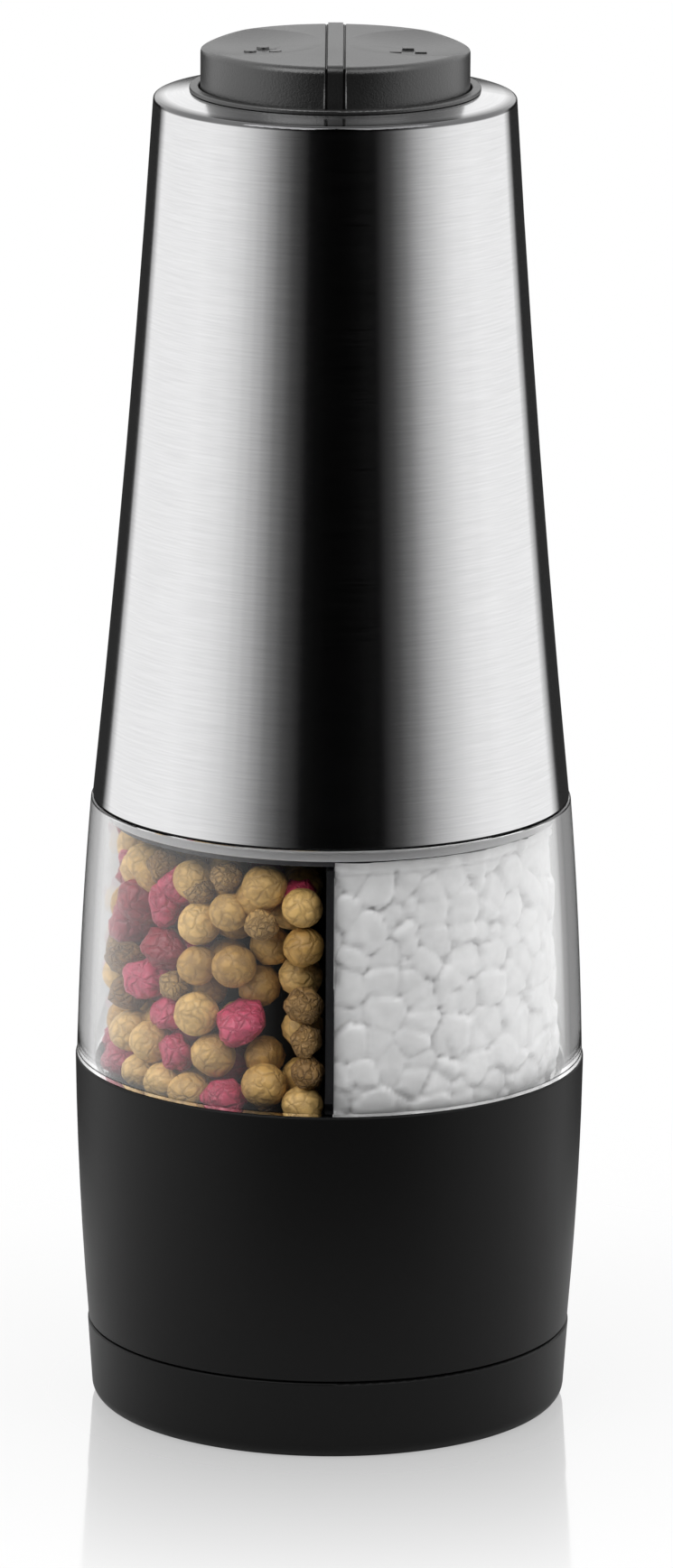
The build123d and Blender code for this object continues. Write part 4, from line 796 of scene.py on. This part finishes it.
def make_floor():
    """A white disc that mirrors the foot of the mill a little and fades out into the background."""
    mesh = bmesh.new()
    bmesh.ops.create_circle(mesh, cap_ends=True, segments=96, radius=FLOOR_R)
    floor = new_object("floor", mesh_data("floor", mesh))
    material, tree, shader = new_material("white_table", (0.9, 0.9, 0.9), 0.0, 0.5)
    shader.inputs["Specular IOR Level"].default_value = 0.0
    path = add(tree, "ShaderNodeLightPath")
    seen = path.outputs["Is Camera Ray"]
    glow = add(tree, "ShaderNodeEmission", {"Strength": 1.0})
    lift = add(tree, "ShaderNodeMixShader")
    gloss = add(tree, "ShaderNodeBsdfGlossy", {"Roughness": 0.07})
    shine = add(tree, "ShaderNodeMixShader")
    coords = add(tree, "ShaderNodeTexCoord")
    far = add(tree, "ShaderNodeVectorMath", operation="LENGTH")
    fade = map_range(tree, 0.034, 0.1, 0.42, 0.06)
    clear = add(tree, "ShaderNodeBsdfTransparent")
    rim = map_range(tree, 0.09, 0.155)
    end = add(tree, "ShaderNodeMixShader")
    link(
        tree,
        (math_node(tree, "MULTIPLY", seen, 0.82), lift.inputs[0]),
        (shader.outputs[0], lift.inputs[1]),
        (glow.outputs[0], lift.inputs[2]),
        (coords.outputs["Object"], far.inputs[0]),
        (far.outputs["Value"], fade.inputs["Value"]),
        (math_node(tree, "MULTIPLY", seen, fade.outputs["Result"]), shine.inputs[0]),
        (lift.outputs[0], shine.inputs[1]),
        (gloss.outputs[0], shine.inputs[2]),
        (far.outputs["Value"], rim.inputs["Value"]),
        (rim.outputs["Result"], end.inputs[0]),
        (shine.outputs[0], end.inputs[1]),
        (clear.outputs[0], end.inputs[2]),
        (end.outputs[0], tree.nodes["Material Output"].inputs["Surface"]),
    )
    floor.data.materials.append(material)


def make_world():
    """Light round the mill: a dark front, bright sides, a dark card low at the back, a soft ceiling."""
    world = bpy.data.worlds.new("studio")
    scene.world = world
    world.use_nodes = True
    tree = world.node_tree
    back = tree.nodes["Background"]
    coords = add(tree, "ShaderNodeTexCoord")
    split = add(tree, "ShaderNodeSeparateXYZ")
    link(tree, (coords.outputs["Generated"], split.inputs[0]))
    frontward = math_node(tree, "MULTIPLY", split.outputs["Y"], -1.0)
    bearing = math_node(tree, "ARCTAN2", split.outputs["X"], frontward)
    side = math_node(tree, "ABSOLUTE", math_node(tree, "SUBTRACT", bearing, STUDIO_TURN))
    around = math_node(tree, "DIVIDE", side, math.pi)
    rear = math_node(tree, "DIVIDE", math_node(tree, "ABSOLUTE", bearing), math.pi)
    ramp = add(tree, "ShaderNodeValToRGB")
    for index, (spot, level) in enumerate(STUDIO_LIGHT):
        stop = ramp.color_ramp.elements[index] if index < 2 else ramp.color_ramp.elements.new(spot)
        stop.position = spot
        stop.color = (level, level, level, 1)
    behind = map_range(tree, 0.74, 0.80)
    below = map_range(tree, 0.16, 0.02)
    zenith = map_range(tree, 0.8, 0.95)
    flag = add(tree, "ShaderNodeMixRGB", {"Color2": (0.03, 0.03, 0.03, 1)})
    sky = add(tree, "ShaderNodeMixRGB", {"Color2": (0.45, 0.45, 0.45, 1)})
    show = add(tree, "ShaderNodeMixRGB", {"Color2": (1, 1, 1, 1)})
    path = add(tree, "ShaderNodeLightPath")
    level = map_range(tree, -0.8, 0.8, 0.75, 0.2)
    away = math_node(tree, "GREATER_THAN", split.outputs["Y"], 0.0)
    away = math_node(tree, "MULTIPLY", away, level.outputs["Result"])
    through = math_node(tree, "MULTIPLY", path.outputs["Is Transmission Ray"], away)
    low_behind = math_node(tree, "MULTIPLY", behind.outputs["Result"], below.outputs["Result"])
    link(
        tree,
        (around, ramp.inputs["Fac"]),
        (rear, behind.inputs["Value"]),
        (split.outputs["Z"], below.inputs["Value"]),
        (split.outputs["Z"], zenith.inputs["Value"]),
        (split.outputs["X"], level.inputs["Value"]),
        (low_behind, flag.inputs["Fac"]),
        (ramp.outputs["Color"], flag.inputs["Color1"]),
        (zenith.outputs["Result"], sky.inputs["Fac"]),
        (flag.outputs["Color"], sky.inputs["Color1"]),
        (math_node(tree, "MAXIMUM", path.outputs["Is Camera Ray"], through), show.inputs["Fac"]),
        (sky.outputs["Color"], show.inputs["Color1"]),
        (show.outputs["Color"], back.inputs["Color"]),
    )


def make_softbox(name, place, aim, size, power):
    """A rectangular lamp at place that faces aim."""
    lamp = bpy.data.lights.new(name, "AREA")
    lamp.shape = "RECTANGLE"
    lamp.size, lamp.size_y = size
    lamp.energy = power
    holder = new_object(name, lamp)
    holder.location = place
    holder.rotation_euler = (Vector(aim) - Vector(place)).to_track_quat("-Z", "Y").to_euler()


# Camera, fitted to the rings and the outline in the photo
CAMERA_PITCH = math.radians(13.79)
CAMERA_ROLL = math.radians(0.355)
CAMERA_REACH = 1.4954
CAMERA_AIM = Vector((0.0008, 0, 0.09293))
FOCAL_PIXELS = 11272.7
PHOTO_TALL = 1737
SENSOR_TALL = 36.0


def make_camera():
    lens = bpy.data.cameras.new("camera")
    lens.sensor_fit = "VERTICAL"
    lens.sensor_height = SENSOR_TALL
    lens.lens = FOCAL_PIXELS / PHOTO_TALL * SENSOR_TALL
    lens.clip_end = 20
    camera = new_object("camera", lens)
    back = Vector((0, -math.cos(CAMERA_PITCH), math.sin(CAMERA_PITCH)))
    camera.location = CAMERA_AIM + back * CAMERA_REACH
    turn = (CAMERA_AIM - camera.location).to_track_quat("-Z", "Y").to_matrix()
    camera.rotation_euler = (turn @ Matrix.Rotation(CAMERA_ROLL, 3, "Z")).to_euler()
    scene.camera = camera


make_floor()
make_world()
make_softbox("left_softbox", (-0.75, -0.95, 1.25), (0, 0, 0.08), (1.3, 1.3), 13.0)
make_softbox("right_softbox", (0.75, -0.85, 1.25), (0, 0, 0.08), (1.3, 1.3), 9.0)
make_camera()
scene.view_settings.view_transform = "Standard"
